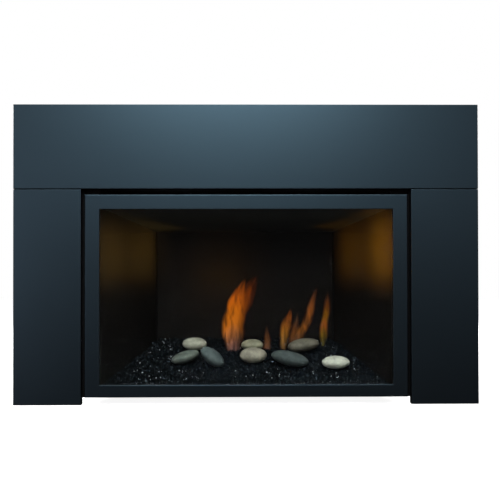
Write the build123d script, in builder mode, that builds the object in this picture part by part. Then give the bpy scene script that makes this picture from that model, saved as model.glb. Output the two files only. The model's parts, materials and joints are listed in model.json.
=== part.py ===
from build123d import *
import math
import os

# A gas fireplace insert: a sealed firebox inside a sheet-steel casing, with a three-piece
# surround in front of the fireplace opening. Millimetres, +Z up, the front faces -Y, and the
# origin is the bottom centre of the whole insert.

# Surround
surround_width = 1096.0
surround_height = 707.0
surround_depth = 28.5
top_panel_height = 199.0
side_panel_width = 159.0
panel_sheet = 1.5
panel_seam = 1.2
panel_bend_radius = 1.2
bracket_sheet = 1.5
bracket_foot = 15.0
bracket_length = 24.0
bracket_reach = 19.0
side_bracket_margin = 120.0
top_bracket_spacing = 600.0

# Front frame and the gaps round it
side_gap = 8.0
top_gap = 13.0
frame_lift = 17.0
frame_side_bar = 34.8
frame_top_bar = 35.0
frame_bottom_bar = 29.0
frame_set_back = 2.0
frame_sheet = 1.5
frame_bend_radius = 2.5
frame_return = 20.0
frame_top_return = 14.0
frame_lip = 10.0
hook_sheet = 3.0
hook_inset = 131.0
hook_wall = 3.0
hanger_pin_radius = 2.5
hanger_ear = 2.0
magnet_width = 24.0
magnet_height = 8.0
magnet_inset = 51.0

# Window
window_reveal = 2.8
window_side_border = 13.0
window_bottom_border = 10.0
window_sheet = 1.5
window_return = 10.0
glass_thickness = 5.0
gasket_thickness = 5.5
gasket_width = 7.0
latch_thickness = 3.0
latch_reach = 16.0
latch_width = 9.0
latch_tab = 5.0
latch_margin = 85.0
latch_boss_radius = 5.5
latch_pivot_radius = 3.0

# Casing
face_sheet = 1.5
face_overlap = 19.0
face_top_band = 17.0
casing_sheet = 1.2
casing_depth = 375.0
casing_straight = 84.0
casing_taper = 96.0
casing_inset = 5.0
casing_over = 5.0
base_lift = 15.0
base_sheet = 1.5
skirt_height = 12.0
outlet_overlap = 8.0
inlet_slot_length = 40.0
inlet_slot_height = 10.0
inlet_slot_pitch = 48.0
anchor_spacing_x = 400.0
anchor_spacing_y = 180.0
anchor_hole_radius = 4.5
foot_pad_radius = 12.0
foot_pad_height = 4.0
foot_shank_radius = 5.0
foot_travel_down = 10.0
foot_nut_radius = 9.0
foot_nut_height = 9.0
foot_wall_gap = 16.0
front_foot_setback = 131.0
rear_foot_setback = 36.0

# Firebox
firebox_sheet = 1.5
liner_sheet = 1.0
back_wall_width = 466.0
back_wall_depth = 301.5
back_standoff = 6.0
liner_end_gap = 8.0
ceiling_drop = 45.0
ceiling_front_gap = 22.0
firebox_headroom = 2.0
bed_rise = 88.0
bed_front_drop = 2.0
bed_flat = 11.5
bed_thickness = 14.0
floor_sheet = 1.5
flap_width = 120.0
flap_length = 78.0
flap_sheet = 2.0
flap_spacing = 340.0
flap_opening_margin = 10.0
flap_pin_radius = 2.0
flap_knuckle_wall = 2.0

# Vent
collar_radius = 38.0
collar_sheet = 1.0
collar_height = 48.0
collar_spacing = 130.0
collar_flange = 12.0
flue_plate_width = 300.0
flue_plate_length = 130.0
flue_plate_sheet = 1.5
duct_width = 100.0
duct_depth = 20.0
duct_sheet = 1.0
duct_slot_margin = 6.0
duct_foot_gap = 6.0
air_slot_height = 16.0
liner_air_gap = 8.0

# Burner, pilot and gas train
burner_length = 440.0
burner_width = 64.0
burner_height = 22.0
burner_cover = 8.0
burner_sheet = 1.2
burner_flange = 6.0
burner_set_back = 90.0
port_radius = 1.2
port_rows = 3
port_columns = 22
venturi_radius = 12.0
venturi_wall = 1.2
venturi_lift = 27.5
venturi_run = 164.0
venturi_bend = 18.0
air_window_length = 11.0
shutter_wall = 1.5
shutter_length = 24.0
shutter_travel = 12.0
shutter_rod_radius = 2.0
shutter_knob_radius = 4.0
orifice_radius = 7.0
orifice_length = 16.0
pipe_radius = 4.0
pipe_wall = 0.8
pipe_bend = 12.0
valve_across = 125.0
valve_depth = 167.5
valve_width = 90.0
valve_length = 55.0
valve_height = 36.0
valve_knob_radius = 11.0
valve_knob_height = 14.0
service_lift = 20.0
gas_fitting_radius = 8.0
gas_fitting_length = 24.0
gland_bore_radius = 4.0
gland_neck_radius = 7.7
nut_thickness = 5.0
nut_rim = 5.0
fitting_inner = 9.0
receiver_width = 80.0
receiver_length = 42.0
receiver_height = 11.0
receiver_set_back = 15.5
receiver_margin = 20.0
slider_width = 8.0
slider_height = 5.0
slider_travel = 8.0
pilot_across = -131.0
pilot_gap = 20.0
pilot_radius = 5.0
electrode_spacing = 22.0

# Blower
blower_wheel_radius = 25.0
blower_wheel_length = 300.0
blower_blades = 24
blower_blade_sheet = 0.8
blower_shaft_radius = 4.0
blower_sheet = 1.2
blower_clearance = 4.0
motor_radius = 24.0
motor_length = 44.0

# Pebbles: across, depth behind the surround's face, half length, half width, half height, and
# how many degrees each one tips sideways as it leans on the sloping bed
pale_pebble_places = (
    (-131.2, 237.5, 31.8, 25.4, 15.6, 0.0),
    (17.3, 228.8, 29.3, 24.1, 15.4, 0.0),
    (18.1, 150.7, 34.7, 27.1, 19.7, 0.0),
    (222.5, 114.0, 34.5, 25.9, 16.3, 0.0),
)
grey_pebble_places = (
    (-151.3, 146.6, 36.3, 26.1, 14.9, 17.0),
    (-83.2, 125.2, 34.8, 26.1, 18.6, -38.0),
    (109.2, 125.0, 48.4, 30.0, 18.5, -13.0),
    (147.9, 220.3, 41.6, 28.3, 17.0, 8.0),
)

# Clearances
seat_gap = 0.3
running_gap = 0.06
screw_shank_radius = 1.9
screw_head_radius = 3.5
screw_head_height = 2.0
screw_grip = 4.5

# Heights above the hearth and places across, worked out from the sizes above
overall_depth = surround_depth + casing_depth + casing_sheet
front_y = -overall_depth / 2
opening_high = surround_height - top_panel_height
opening_half = surround_width / 2 - side_panel_width
frame_half = opening_half - side_gap
frame_high = opening_high - top_gap
view_half = frame_half - frame_side_bar
view_low = frame_lift + frame_bottom_bar
view_high = frame_high - frame_top_bar
window_half = view_half + window_reveal
window_low = view_low - window_reveal
window_high = view_high + window_reveal
window_outer_half = window_half + window_side_border
window_outer_low = window_low - window_bottom_border
window_outer_high = window_high + window_side_border
face_front = surround_depth - face_sheet
window_front = face_front - gasket_thickness - glass_thickness - window_sheet
casing_half = frame_half - casing_inset
casing_high = opening_high + casing_over
casing_under_top = casing_high - casing_sheet
casing_back_half = casing_half - casing_taper
outlet_low = frame_high - outlet_overlap
outlet_half = window_half - window_reveal
base_high = base_lift + base_sheet
rear_depth = surround_depth + casing_depth
liner_out = liner_sheet + seat_gap
back_wall_plane = surround_depth + back_wall_depth
wrap_back = back_wall_plane + back_standoff
firebox_high = window_outer_high + firebox_headroom
bed_low = view_low - bed_front_drop
bed_start = surround_depth + bed_flat
bed_slope = bed_rise / (back_wall_plane - bed_start)
bed_angle = math.degrees(math.atan(bed_slope))
burner_depth = back_wall_plane - burner_set_back
burner_back = burner_depth + (burner_width / 2 + burner_flange) * math.cos(math.atan(bed_slope))
pilot_depth = burner_back + pilot_gap
pin_high = window_outer_high + hanger_pin_radius + hook_wall + 0.5
pin_depth = frame_set_back + frame_return - 3.0
latch_depth = window_front - seat_gap - latch_thickness


def y_at(depth):
    """The Y of a place so far behind the surround's face."""
    return front_y + depth


def facing(depth):
    """A sketch plane that faces the viewer, with local x across and local y up."""
    return Plane.XZ.offset(-y_at(depth))


def slab(left, right, near, far, low, high, mode=Mode.ADD):
    """A box between two places across, two depths and two heights."""
    centre = ((left + right) / 2, y_at((near + far) / 2), (low + high) / 2)
    with Locations(centre):
        Box(right - left, far - near, high - low, mode=mode)


def rod(start, end, radius, mode=Mode.ADD):
    """A round rod between two points given as (across, depth, height)."""
    a = Vector(start[0], y_at(start[1]), start[2])
    b = Vector(end[0], y_at(end[1]), end[2])
    along = b - a
    with BuildSketch(Plane(origin=a, z_dir=along)) as section:
        Circle(radius)
    extrude(section.sketch, amount=along.length, mode=mode)


def ring(half, low, high, margin_side, margin_low, margin_high, near, far, mode=Mode.ADD):
    """A four-sided ring round an opening, between two depths."""
    with BuildSketch(facing(near)) as outline:
        with Locations((0, (low - margin_low + high + margin_high) / 2)):
            Rectangle(2 * (half + margin_side), high - low + margin_low + margin_high)
        with Locations((0, (low + high) / 2)):
            Rectangle(2 * half, high - low, mode=Mode.SUBTRACT)
    extrude(outline.sketch, amount=near - far, mode=mode)


def firebox_half(depth, outset=0.0):
    """Half the firebox's width at a depth, on its sloping sides, moved out square to them."""
    taper = (window_half - back_wall_width / 2) / (back_wall_plane - surround_depth)
    return window_half - taper * (depth - surround_depth) + outset * math.hypot(1, taper)


def firebox_plan(near, far, outset=0.0):
    """The firebox's tapering plan between two depths."""
    Polygon(
        (-firebox_half(near, outset), y_at(near)),
        (firebox_half(near, outset), y_at(near)),
        (firebox_half(far, outset), y_at(far)),
        (-firebox_half(far, outset), y_at(far)),
        align=None,
    )


def casing_plan(inset=0.0, front=surround_depth):
    """The casing's plan: straight cheeks, then sides that close in towards the back."""
    shoulder = surround_depth + casing_straight
    Polygon(
        (-casing_half, y_at(front)),
        (casing_half, y_at(front)),
        (casing_half, y_at(shoulder)),
        (casing_back_half, y_at(rear_depth)),
        (-casing_back_half, y_at(rear_depth)),
        (-casing_half, y_at(shoulder)),
        align=None,
    )
    if inset:
        offset(amount=-inset, kind=Kind.INTERSECTION)


def casing_side(depth):
    """Half the casing's outer width at a depth."""
    past = max(0.0, depth - surround_depth - casing_straight)
    return casing_half - casing_taper * past / (casing_depth - casing_straight)


def bed_height(depth):
    """The height of the sloping bed's surface at a depth."""
    return bed_low + bed_slope * max(0.0, depth - bed_start)


def bed_plane(across, depth, sunk=0.0, drop=0.0):
    """A plane parallel to the bed's slope, dropped straight down and then sunk square to it."""
    normal = (0, -math.sin(math.radians(bed_angle)), math.cos(math.radians(bed_angle)))
    place = (across, y_at(depth), bed_height(depth) - drop)
    return Plane(origin=place, x_dir=(1, 0, 0), z_dir=normal).offset(-sunk)


def keep(piece, name):
    """Labels a finished piece and writes it."""
    piece.label = name
    export_step(piece, f"parts/{name}.step")


def plate(*edges):
    """One flat sheet of a piece that is welded from sheets, as its own solid."""
    with BuildPart() as sheet:
        slab(*edges)
    return sheet.part


def cut_out(whole, *edges):
    """The share of a piece that lies between six planes, as its own solid."""
    with BuildPart() as share:
        add(whole)
        slab(*edges, mode=Mode.INTERSECT)
    return share.part


def screws_along(places, direction):
    """Pan-head screws: each place is under the head, and the shank runs along direction."""
    with BuildPart() as screws:
        for place in places:
            seat = Plane(origin=(place[0], y_at(place[1]), place[2]), z_dir=direction)
            with BuildSketch(seat):
                Circle(screw_shank_radius)
            extrude(amount=screw_grip)
            with BuildSketch(seat):
                Circle(screw_head_radius)
            extrude(amount=-screw_head_height)
    return screws.part


os.makedirs("parts", exist_ok=True)

# ---------------------------------------------------------------- surround
return_end = face_front - seat_gap


def folded_panel(left, right, low, high, to_wall):
    """A face with four returns. Those in to_wall reach the wall, the rest clear the face plate."""
    strips = {
        "left": (left, left + panel_sheet, low, high),
        "right": (right - panel_sheet, right, low, high),
        "low": (left, right, low, low + panel_sheet),
        "high": (left, right, high - panel_sheet, high),
    }
    with BuildPart() as panel:
        slab(left, right, 0, surround_depth, low, high)
        fillet(panel.faces().sort_by(Axis.Y)[0].edges(), panel_bend_radius)
        slab(
            left + panel_sheet,
            right - panel_sheet,
            panel_sheet,
            surround_depth,
            low + panel_sheet,
            high - panel_sheet,
            mode=Mode.SUBTRACT,
        )
        for side, (x0, x1, z0, z1) in strips.items():
            if side not in to_wall:
                slab(x0, x1, return_end, surround_depth, z0, z1, mode=Mode.SUBTRACT)
    return panel.part


side_panel_high = opening_high - panel_seam
surround_half = surround_width / 2
surround_top_panel = folded_panel(
    -surround_half, surround_half, opening_high, surround_height, ("left", "right", "high")
)
surround_left_panel = folded_panel(
    -surround_half, -opening_half, 0, side_panel_high, ("left", "low")
)
surround_right_panel = folded_panel(
    opening_half, surround_half, 0, side_panel_high, ("right", "low")
)
keep(surround_top_panel, "surround_top_panel")
keep(surround_left_panel, "surround_left_panel")
keep(surround_right_panel, "surround_right_panel")

# L brackets: a foot on the face plate, and a tongue that the panel's return slides over
bracket_heights = (side_bracket_margin, side_panel_high - side_bracket_margin)
tongue_start = face_front - bracket_reach
side_tongue = opening_half + panel_sheet + seat_gap
top_tongue = opening_high + panel_sheet + seat_gap
face_screw_places = []
with BuildPart() as surround_brackets:
    for side in (-1, 1):
        for height in bracket_heights:
            low, high = height - bracket_length / 2, height + bracket_length / 2
            inner, outer = side * side_tongue, side * (side_tongue + bracket_sheet)
            slab(min(inner, outer), max(inner, outer), tongue_start, face_front, low, high)
            end = side * (side_tongue + bracket_foot)
            slab(
                min(inner, end),
                max(inner, end),
                face_front - bracket_sheet,
                face_front,
                low,
                high,
            )
            face_screw_places.append((side * (side_tongue + bracket_foot / 2 + 1), height))
    for across in (-top_bracket_spacing / 2, top_bracket_spacing / 2):
        left, right = across - bracket_length / 2, across + bracket_length / 2
        slab(left, right, tongue_start, face_front, top_tongue, top_tongue + bracket_sheet)
        slab(
            left,
            right,
            face_front - bracket_sheet,
            face_front,
            top_tongue,
            top_tongue + bracket_foot,
        )
        face_screw_places.append((across, top_tongue + bracket_foot / 2 + 2))
    with BuildSketch(facing(face_front - bracket_sheet)):
        with Locations(*face_screw_places):
            Circle(screw_shank_radius + 0.1)
    extrude(amount=-bracket_sheet, mode=Mode.SUBTRACT)
keep(surround_brackets.part, "surround_brackets")
surround_screws = screws_along(
    [(x, face_front - bracket_sheet, z) for x, z in face_screw_places], (0, 1, 0)
)
keep(surround_screws, "surround_screws")

# ---------------------------------------------------------------- front frame
frame_back = frame_set_back + frame_return
frame_bars = (frame_side_bar, frame_bottom_bar, frame_top_bar)
with BuildPart() as front_frame:
    ring(view_half, view_low, view_high, *frame_bars, frame_set_back, frame_back)
    face = front_frame.faces().sort_by(Axis.Y)[0]
    fillet(face.outer_wire().edges(), frame_bend_radius)
    face = front_frame.faces().sort_by(Axis.Y)[0]
    fillet(face.inner_wires()[0].edges(), panel_bend_radius)
    ring(
        view_half + frame_sheet,
        view_low - frame_sheet,
        view_high + frame_sheet,
        *[bar - 2 * frame_sheet for bar in frame_bars],
        frame_set_back + frame_sheet,
        frame_back,
        mode=Mode.SUBTRACT,
    )
    ring(
        view_half,
        view_low,
        view_high,
        frame_sheet,
        frame_sheet,
        frame_sheet,
        frame_set_back + frame_lip,
        frame_back,
        mode=Mode.SUBTRACT,
    )
    # The top return is shorter, and so are the side returns beside it, to clear the face plate
    # as the frame tilts on its hooks
    slab(
        -frame_half,
        frame_half,
        frame_set_back + frame_top_return,
        frame_back,
        pin_high - hanger_pin_radius,
        frame_high,
        mode=Mode.SUBTRACT,
    )
bend_back = frame_set_back + frame_bend_radius
lip_half = view_half + frame_sheet
lip_low = view_low - frame_sheet
lip_high = view_high + frame_sheet
return_half = frame_half - frame_sheet
return_low = frame_lift + frame_sheet
return_high = frame_high - frame_sheet
frame_strips = [
    # The four bars of the face, with their bends
    (-frame_half, frame_half, frame_set_back, bend_back, view_high, frame_high),
    (-frame_half, frame_half, frame_set_back, bend_back, frame_lift, view_low),
    (-frame_half, -view_half, frame_set_back, bend_back, view_low, view_high),
    (view_half, frame_half, frame_set_back, bend_back, view_low, view_high),
    # The four returns round the outside
    (-frame_half, frame_half, bend_back, frame_back, return_high, frame_high),
    (-frame_half, frame_half, bend_back, frame_back, frame_lift, return_low),
    (-frame_half, -return_half, bend_back, frame_back, return_low, return_high),
    (return_half, frame_half, bend_back, frame_back, return_low, return_high),
    # The four lips round the opening
    (-lip_half, lip_half, bend_back, frame_back, view_high, lip_high),
    (-lip_half, lip_half, bend_back, frame_back, lip_low, view_low),
    (-lip_half, -view_half, bend_back, frame_back, view_low, view_high),
    (view_half, lip_half, bend_back, frame_back, view_low, view_high),
]
keep(
    Compound(children=[cut_out(front_frame.part, *strip) for strip in frame_strips]),
    "front_frame",
)

hook_radius = hanger_pin_radius + running_gap
hook_outer = hanger_pin_radius + hook_wall
hook_places = (hook_inset - frame_half, frame_half - hook_inset)
frame_face_inside = frame_set_back + frame_sheet
with BuildPart() as frame_hooks:
    for across in hook_places:
        with BuildSketch(Plane.YZ.offset(across - hook_sheet / 2)):
            with Locations((y_at(pin_depth), pin_high)):
                Circle(hook_outer)
            arm = pin_depth - frame_face_inside
            with Locations((y_at(frame_face_inside + arm / 2), pin_high + hook_outer / 2)):
                Rectangle(arm, hook_outer)
            with Locations((y_at(pin_depth), pin_high)):
                Circle(hook_radius, mode=Mode.SUBTRACT)
            with Locations((y_at(pin_depth), pin_high - hook_outer)):
                Rectangle(2 * hook_radius, 2 * hook_outer, mode=Mode.SUBTRACT)
        extrude(amount=hook_sheet)
        slab(
            across - 3 * hook_sheet,
            across + 3 * hook_sheet,
            frame_face_inside,
            frame_face_inside + frame_sheet,
            pin_high - hook_outer,
            pin_high + hook_outer,
        )
keep(frame_hooks.part, "frame_hooks")

with BuildPart() as hanger_brackets:
    for across in hook_places:
        ear_inner = hook_sheet / 2 + seat_gap
        ear_outer = ear_inner + hanger_ear
        slab(
            across - 3 * ear_outer,
            across + 3 * ear_outer,
            face_front - bracket_sheet,
            face_front,
            pin_high - hanger_pin_radius - 2,
            pin_high + hanger_pin_radius + 2,
        )
        for side in (-1, 1):
            edges = sorted((across + side * ear_inner, across + side * ear_outer))
            slab(
                *edges,
                pin_depth - hanger_pin_radius - 1.5,
                face_front - bracket_sheet,
                pin_high - hanger_pin_radius - 1.5,
                pin_high + hanger_pin_radius + 1.5,
            )
        rod(
            (across - ear_outer, pin_depth, pin_high),
            (across + ear_outer, pin_depth, pin_high),
            hanger_pin_radius,
        )
keep(hanger_brackets.part, "hanger_brackets")

# Magnets on the face plate hold the frame's bottom return
with BuildPart() as frame_magnets:
    for across in (magnet_inset - frame_half, frame_half - magnet_inset):
        slab(
            across - magnet_width / 2,
            across + magnet_width / 2,
            frame_back + seat_gap,
            face_front,
            frame_lift,
            frame_lift + magnet_height,
        )
keep(frame_magnets.part, "frame_magnets")

# ---------------------------------------------------------------- window
window_borders = (window_side_border, window_bottom_border, window_side_border)
with BuildPart() as window_frame:
    ring(
        window_half,
        window_low,
        window_high,
        *window_borders,
        window_front,
        window_front + window_return,
    )
    ring(
        window_half,
        window_low,
        window_high,
        *[border - window_sheet for border in window_borders],
        window_front + window_sheet,
        window_front + window_return,
        mode=Mode.SUBTRACT,
    )
keep(window_frame.part, "window_frame")

glass_front = window_front + window_sheet
glass_margin = window_sheet + seat_gap
with BuildPart() as window_glass:
    slab(
        -window_outer_half + glass_margin,
        window_outer_half - glass_margin,
        glass_front,
        glass_front + glass_thickness,
        window_outer_low + glass_margin,
        window_outer_high - glass_margin,
    )
    chamfer(window_glass.edges().filter_by(Axis.Y), 1.0)
keep(window_glass.part, "window_glass")

with BuildPart() as window_gasket:
    ring(
        window_half + 1,
        window_low - 1,
        window_high + 1,
        gasket_width,
        gasket_width,
        gasket_width,
        glass_front + glass_thickness,
        face_front,
    )
keep(window_gasket.part, "window_gasket")

# Turn-button latches press the window frame onto its gasket
latch_across = window_outer_half + window_side_border / 2
latch_heights = (window_outer_low + latch_margin, window_outer_high - latch_margin)
latch_places = {
    "lower_left": (-1, latch_heights[0]),
    "lower_right": (1, latch_heights[0]),
    "upper_left": (-1, latch_heights[1]),
    "upper_right": (1, latch_heights[1]),
}
for where, (side, height) in latch_places.items():
    with BuildPart() as latch:
        with BuildSketch(facing(latch_depth)):
            with Locations((side * latch_across, height)):
                Circle(latch_boss_radius)
            with Locations((side * (latch_across - latch_reach / 2), height)):
                Rectangle(latch_reach, latch_width)
            with Locations((side * latch_across, height)):
                Circle(latch_pivot_radius + running_gap, mode=Mode.SUBTRACT)
        extrude(amount=-latch_thickness)
        tip = side * (latch_across - latch_reach)
        root = tip + side * latch_thickness
        slab(
            min(tip, root),
            max(tip, root),
            latch_depth - latch_tab,
            latch_depth,
            height - latch_width / 2,
            height + latch_width / 2,
        )
    keep(latch.part, f"glass_latch_{where}")

with BuildPart() as latch_pivots:
    for side, height in latch_places.values():
        across = side * latch_across
        boss_front = latch_depth + latch_thickness + seat_gap
        rod((across, boss_front, height), (across, face_front, height), latch_boss_radius)
        head_back = latch_depth - seat_gap
        rod((across, head_back, height), (across, boss_front, height), latch_pivot_radius)
        rod((across, head_back - 2, height), (across, head_back, height), latch_boss_radius)
        rod(
            (across, face_front, height),
            (across, face_front + face_sheet + 2, height),
            latch_pivot_radius,
        )
keep(latch_pivots.part, "latch_pivots")

# ---------------------------------------------------------------- casing
slot_low = base_high + 2.5
slot_high = slot_low + inlet_slot_height
rod_across = 0.0
rod_high = slot_low + inlet_slot_height / 2
receiver_across = view_half - receiver_width / 2 - receiver_margin
slider_high = rod_high
face_half = opening_half + face_overlap
face_high = casing_high + face_top_band
inlet_count = int((receiver_across - receiver_width / 2 - 30) // inlet_slot_pitch)
with BuildPart() as casing_face:
    ring(
        window_half,
        window_low,
        window_high,
        face_half - window_half,
        window_low - base_lift,
        face_high - window_high,
        face_front,
        surround_depth,
    )
    slab(
        -outlet_half,
        outlet_half,
        face_front,
        surround_depth,
        outlet_low,
        casing_under_top,
        mode=Mode.SUBTRACT,
    )
    with BuildSketch(facing(face_front)):
        for side in (-1, 1):
            for step in range(inlet_count):
                place = side * (30 + inlet_slot_pitch * (step + 0.5))
                with Locations((place, (slot_low + slot_high) / 2)):
                    SlotOverall(inlet_slot_length, inlet_slot_height)
        with Locations((rod_across + shutter_travel / 2, rod_high)):
            SlotOverall(shutter_travel + 4 * shutter_rod_radius + 4, inlet_slot_height - 2)
        with Locations((receiver_across + slider_travel / 2, slider_high)):
            Rectangle(slider_width + slider_travel + 2, slider_height + 2)
        with Locations(*face_screw_places):
            Circle(screw_shank_radius + 0.1)
        with Locations(*[(s * latch_across, h) for s, h in latch_places.values()]):
            Circle(latch_pivot_radius + 0.05)
    extrude(amount=-face_sheet, mode=Mode.SUBTRACT)
keep(casing_face.part, "casing_face")

service_depth = surround_depth + casing_straight * 0.7
service_high = base_high + service_lift
with BuildPart() as casing_wrap:
    with BuildSketch(Plane.XY.offset(base_lift)):
        casing_plan()
    extrude(amount=casing_under_top - base_lift)
    with BuildSketch(Plane.XY.offset(base_lift)):
        casing_plan(casing_sheet, surround_depth - 20)
    extrude(amount=casing_under_top - base_lift, mode=Mode.SUBTRACT)
    rod(
        (casing_half - 10, service_depth, service_high),
        (casing_half + 10, service_depth, service_high),
        gas_fitting_radius + seat_gap,
        mode=Mode.SUBTRACT,
    )
    rod(
        (-casing_half - 10, service_depth, service_high),
        (-casing_half + 10, service_depth, service_high),
        gland_neck_radius + seat_gap,
        mode=Mode.SUBTRACT,
    )
    for side in (-1, 1):
        for depth in (surround_depth + 20, surround_depth + casing_straight - 20):
            rod(
                (side * (casing_half - 5), depth, casing_high - skirt_height / 2),
                (side * (casing_half + 5), depth, casing_high - skirt_height / 2),
                screw_shank_radius + 0.1,
                mode=Mode.SUBTRACT,
            )
keep(casing_wrap.part, "casing_wrap")

foot_places = {}
front_foot_depth = surround_depth + front_foot_setback
rear_foot_depth = rear_depth - rear_foot_setback
for where, side, depth in (
    ("front_left", -1, front_foot_depth),
    ("front_right", 1, front_foot_depth),
    ("rear_left", -1, rear_foot_depth),
    ("rear_right", 1, rear_foot_depth),
):
    foot_places[where] = (side * (casing_side(depth) - foot_wall_gap), depth)

anchor_depth = surround_depth + casing_depth / 2
anchor_places = [
    (side * anchor_spacing_x / 2, y_at(anchor_depth + end * anchor_spacing_y / 2))
    for side in (-1, 1)
    for end in (-1, 1)
]
with BuildPart() as casing_base:
    with BuildSketch(Plane.XY.offset(base_lift)):
        casing_plan(casing_sheet, surround_depth - casing_sheet)
    extrude(amount=base_sheet)
    for across, depth in foot_places.values():
        with BuildSketch(Plane.XY.offset(base_high)):
            with Locations((across, y_at(depth))):
                RegularPolygon(foot_nut_radius, 6)
        extrude(amount=foot_nut_height)
        with BuildSketch(Plane.XY.offset(base_lift)):
            with Locations((across, y_at(depth))):
                Circle(foot_shank_radius + running_gap)
        extrude(amount=base_sheet + foot_nut_height, mode=Mode.SUBTRACT)
    with BuildSketch(Plane.XY.offset(base_lift)):
        with Locations(*anchor_places):
            Circle(anchor_hole_radius)
    extrude(amount=base_sheet, mode=Mode.SUBTRACT)
keep(casing_base.part, "casing_base")

foot_top = base_high + foot_nut_height + foot_travel_down + 2.5
for where, (across, depth) in foot_places.items():
    with BuildPart() as foot:
        with BuildSketch():
            with Locations((across, y_at(depth))):
                Circle(foot_pad_radius)
        extrude(amount=foot_pad_height)
        fillet(foot.edges().filter_by(GeomType.CIRCLE), 1.0)
        rod((across, depth, foot_pad_height), (across, depth, foot_top), foot_shank_radius)
    keep(foot.part, f"levelling_foot_{where}")

collar_depth = surround_depth + back_wall_depth * 0.78
collar_places = (-collar_spacing / 2, collar_spacing / 2)
flue_screw_places = [
    (x * (flue_plate_width / 2 - 10), collar_depth + y * (flue_plate_length / 2 - 10))
    for x in (-1, 1)
    for y in (-1, 1)
]
skirt_sheet = casing_sheet
with BuildPart() as casing_top:
    with BuildSketch(Plane.XY.offset(casing_high - skirt_height)):
        casing_plan(-skirt_sheet)
    extrude(amount=skirt_height)
    with BuildSketch(Plane.XY.offset(casing_high - skirt_height)):
        casing_plan(0, surround_depth - 20)
    extrude(amount=skirt_height - casing_sheet, mode=Mode.SUBTRACT)
    slab(
        -casing_half - 10,
        casing_half + 10,
        surround_depth - 10,
        surround_depth,
        casing_high - skirt_height,
        casing_high,
        mode=Mode.SUBTRACT,
    )
    with BuildSketch(Plane.XY.offset(casing_under_top)):
        with Locations(*[(x, y_at(collar_depth)) for x in collar_places]):
            Circle(collar_radius - collar_sheet)
        with Locations(*[(x, y_at(d)) for x, d in flue_screw_places]):
            Circle(screw_shank_radius + 0.1)
    extrude(amount=casing_sheet, mode=Mode.SUBTRACT)
    for side in (-1, 1):
        for depth in (surround_depth + 20, surround_depth + casing_straight - 20):
            rod(
                (side * (casing_half - 5), depth, casing_high - skirt_height / 2),
                (side * (casing_half + 5), depth, casing_high - skirt_height / 2),
                screw_shank_radius + 0.1,
                mode=Mode.SUBTRACT,
            )
keep(casing_top.part, "casing_top")

with BuildPart() as casing_screws:
    for side in (-1, 1):
        for depth in (surround_depth + 20, surround_depth + casing_straight - 20):
            head = side * (casing_half + skirt_sheet)
            level = casing_high - skirt_height / 2
            inside = (head - side * screw_grip, depth, level)
            rod((head, depth, level), inside, screw_shank_radius)
            outside = (head + side * screw_head_height, depth, level)
            rod((head, depth, level), outside, screw_head_radius)

# ---------------------------------------------------------------- firebox
floor_low = bed_low - bed_thickness
floor_back = wrap_back + firebox_sheet
floor_sunk = bed_thickness * math.cos(math.radians(bed_angle))


def floor_height(depth):
    """The top of the firebox floor, parallel to the bed's slope."""
    return bed_height(depth) - bed_thickness


def under_floor(low, near, far):
    """Points of the side profile below the floor's top, from the front to the back."""
    return (
        (y_at(near), low),
        (y_at(far), low),
        (y_at(far), floor_height(far)),
        (y_at(bed_start), floor_low),
        (y_at(near), floor_low),
    )


def layer(low, high, near, far):
    """The side profile of a layer that lies flat at the front, then follows the bed's slope."""
    rise = bed_height(far) - bed_low
    return (
        (y_at(near), low),
        (y_at(bed_start), low),
        (y_at(far), low + rise),
        (y_at(far), high + rise),
        (y_at(bed_start), high),
        (y_at(near), high),
    )


def side_prism(points, half, mode=Mode.ADD):
    """A side profile carried across the whole width."""
    with BuildSketch(Plane.YZ.offset(-half)) as profile:
        Polygon(*points, align=None)
    extrude(profile.sketch, amount=2 * half, mode=mode)


wrap_out = liner_out + firebox_sheet
with BuildPart() as firebox_wrap:
    with BuildSketch(Plane.XY):
        firebox_plan(surround_depth, wrap_back + firebox_sheet, wrap_out)
    extrude(amount=firebox_high)
    with BuildSketch(Plane.XY):
        firebox_plan(surround_depth - 10, wrap_back, liner_out)
    extrude(amount=firebox_high, mode=Mode.SUBTRACT)
    side_prism(
        under_floor(-1, surround_depth - 1, wrap_back + 5), face_half, mode=Mode.SUBTRACT
    )
    air_slot_low = floor_height(wrap_back) + 4
    slab(
        collar_places[1] - duct_width / 2 + duct_slot_margin,
        collar_places[1] + duct_width / 2 - duct_slot_margin,
        wrap_back - 1,
        wrap_back + firebox_sheet + 1,
        air_slot_low,
        air_slot_low + air_slot_height,
        mode=Mode.SUBTRACT,
    )
keep(firebox_wrap.part, "firebox_wrap")

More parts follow.
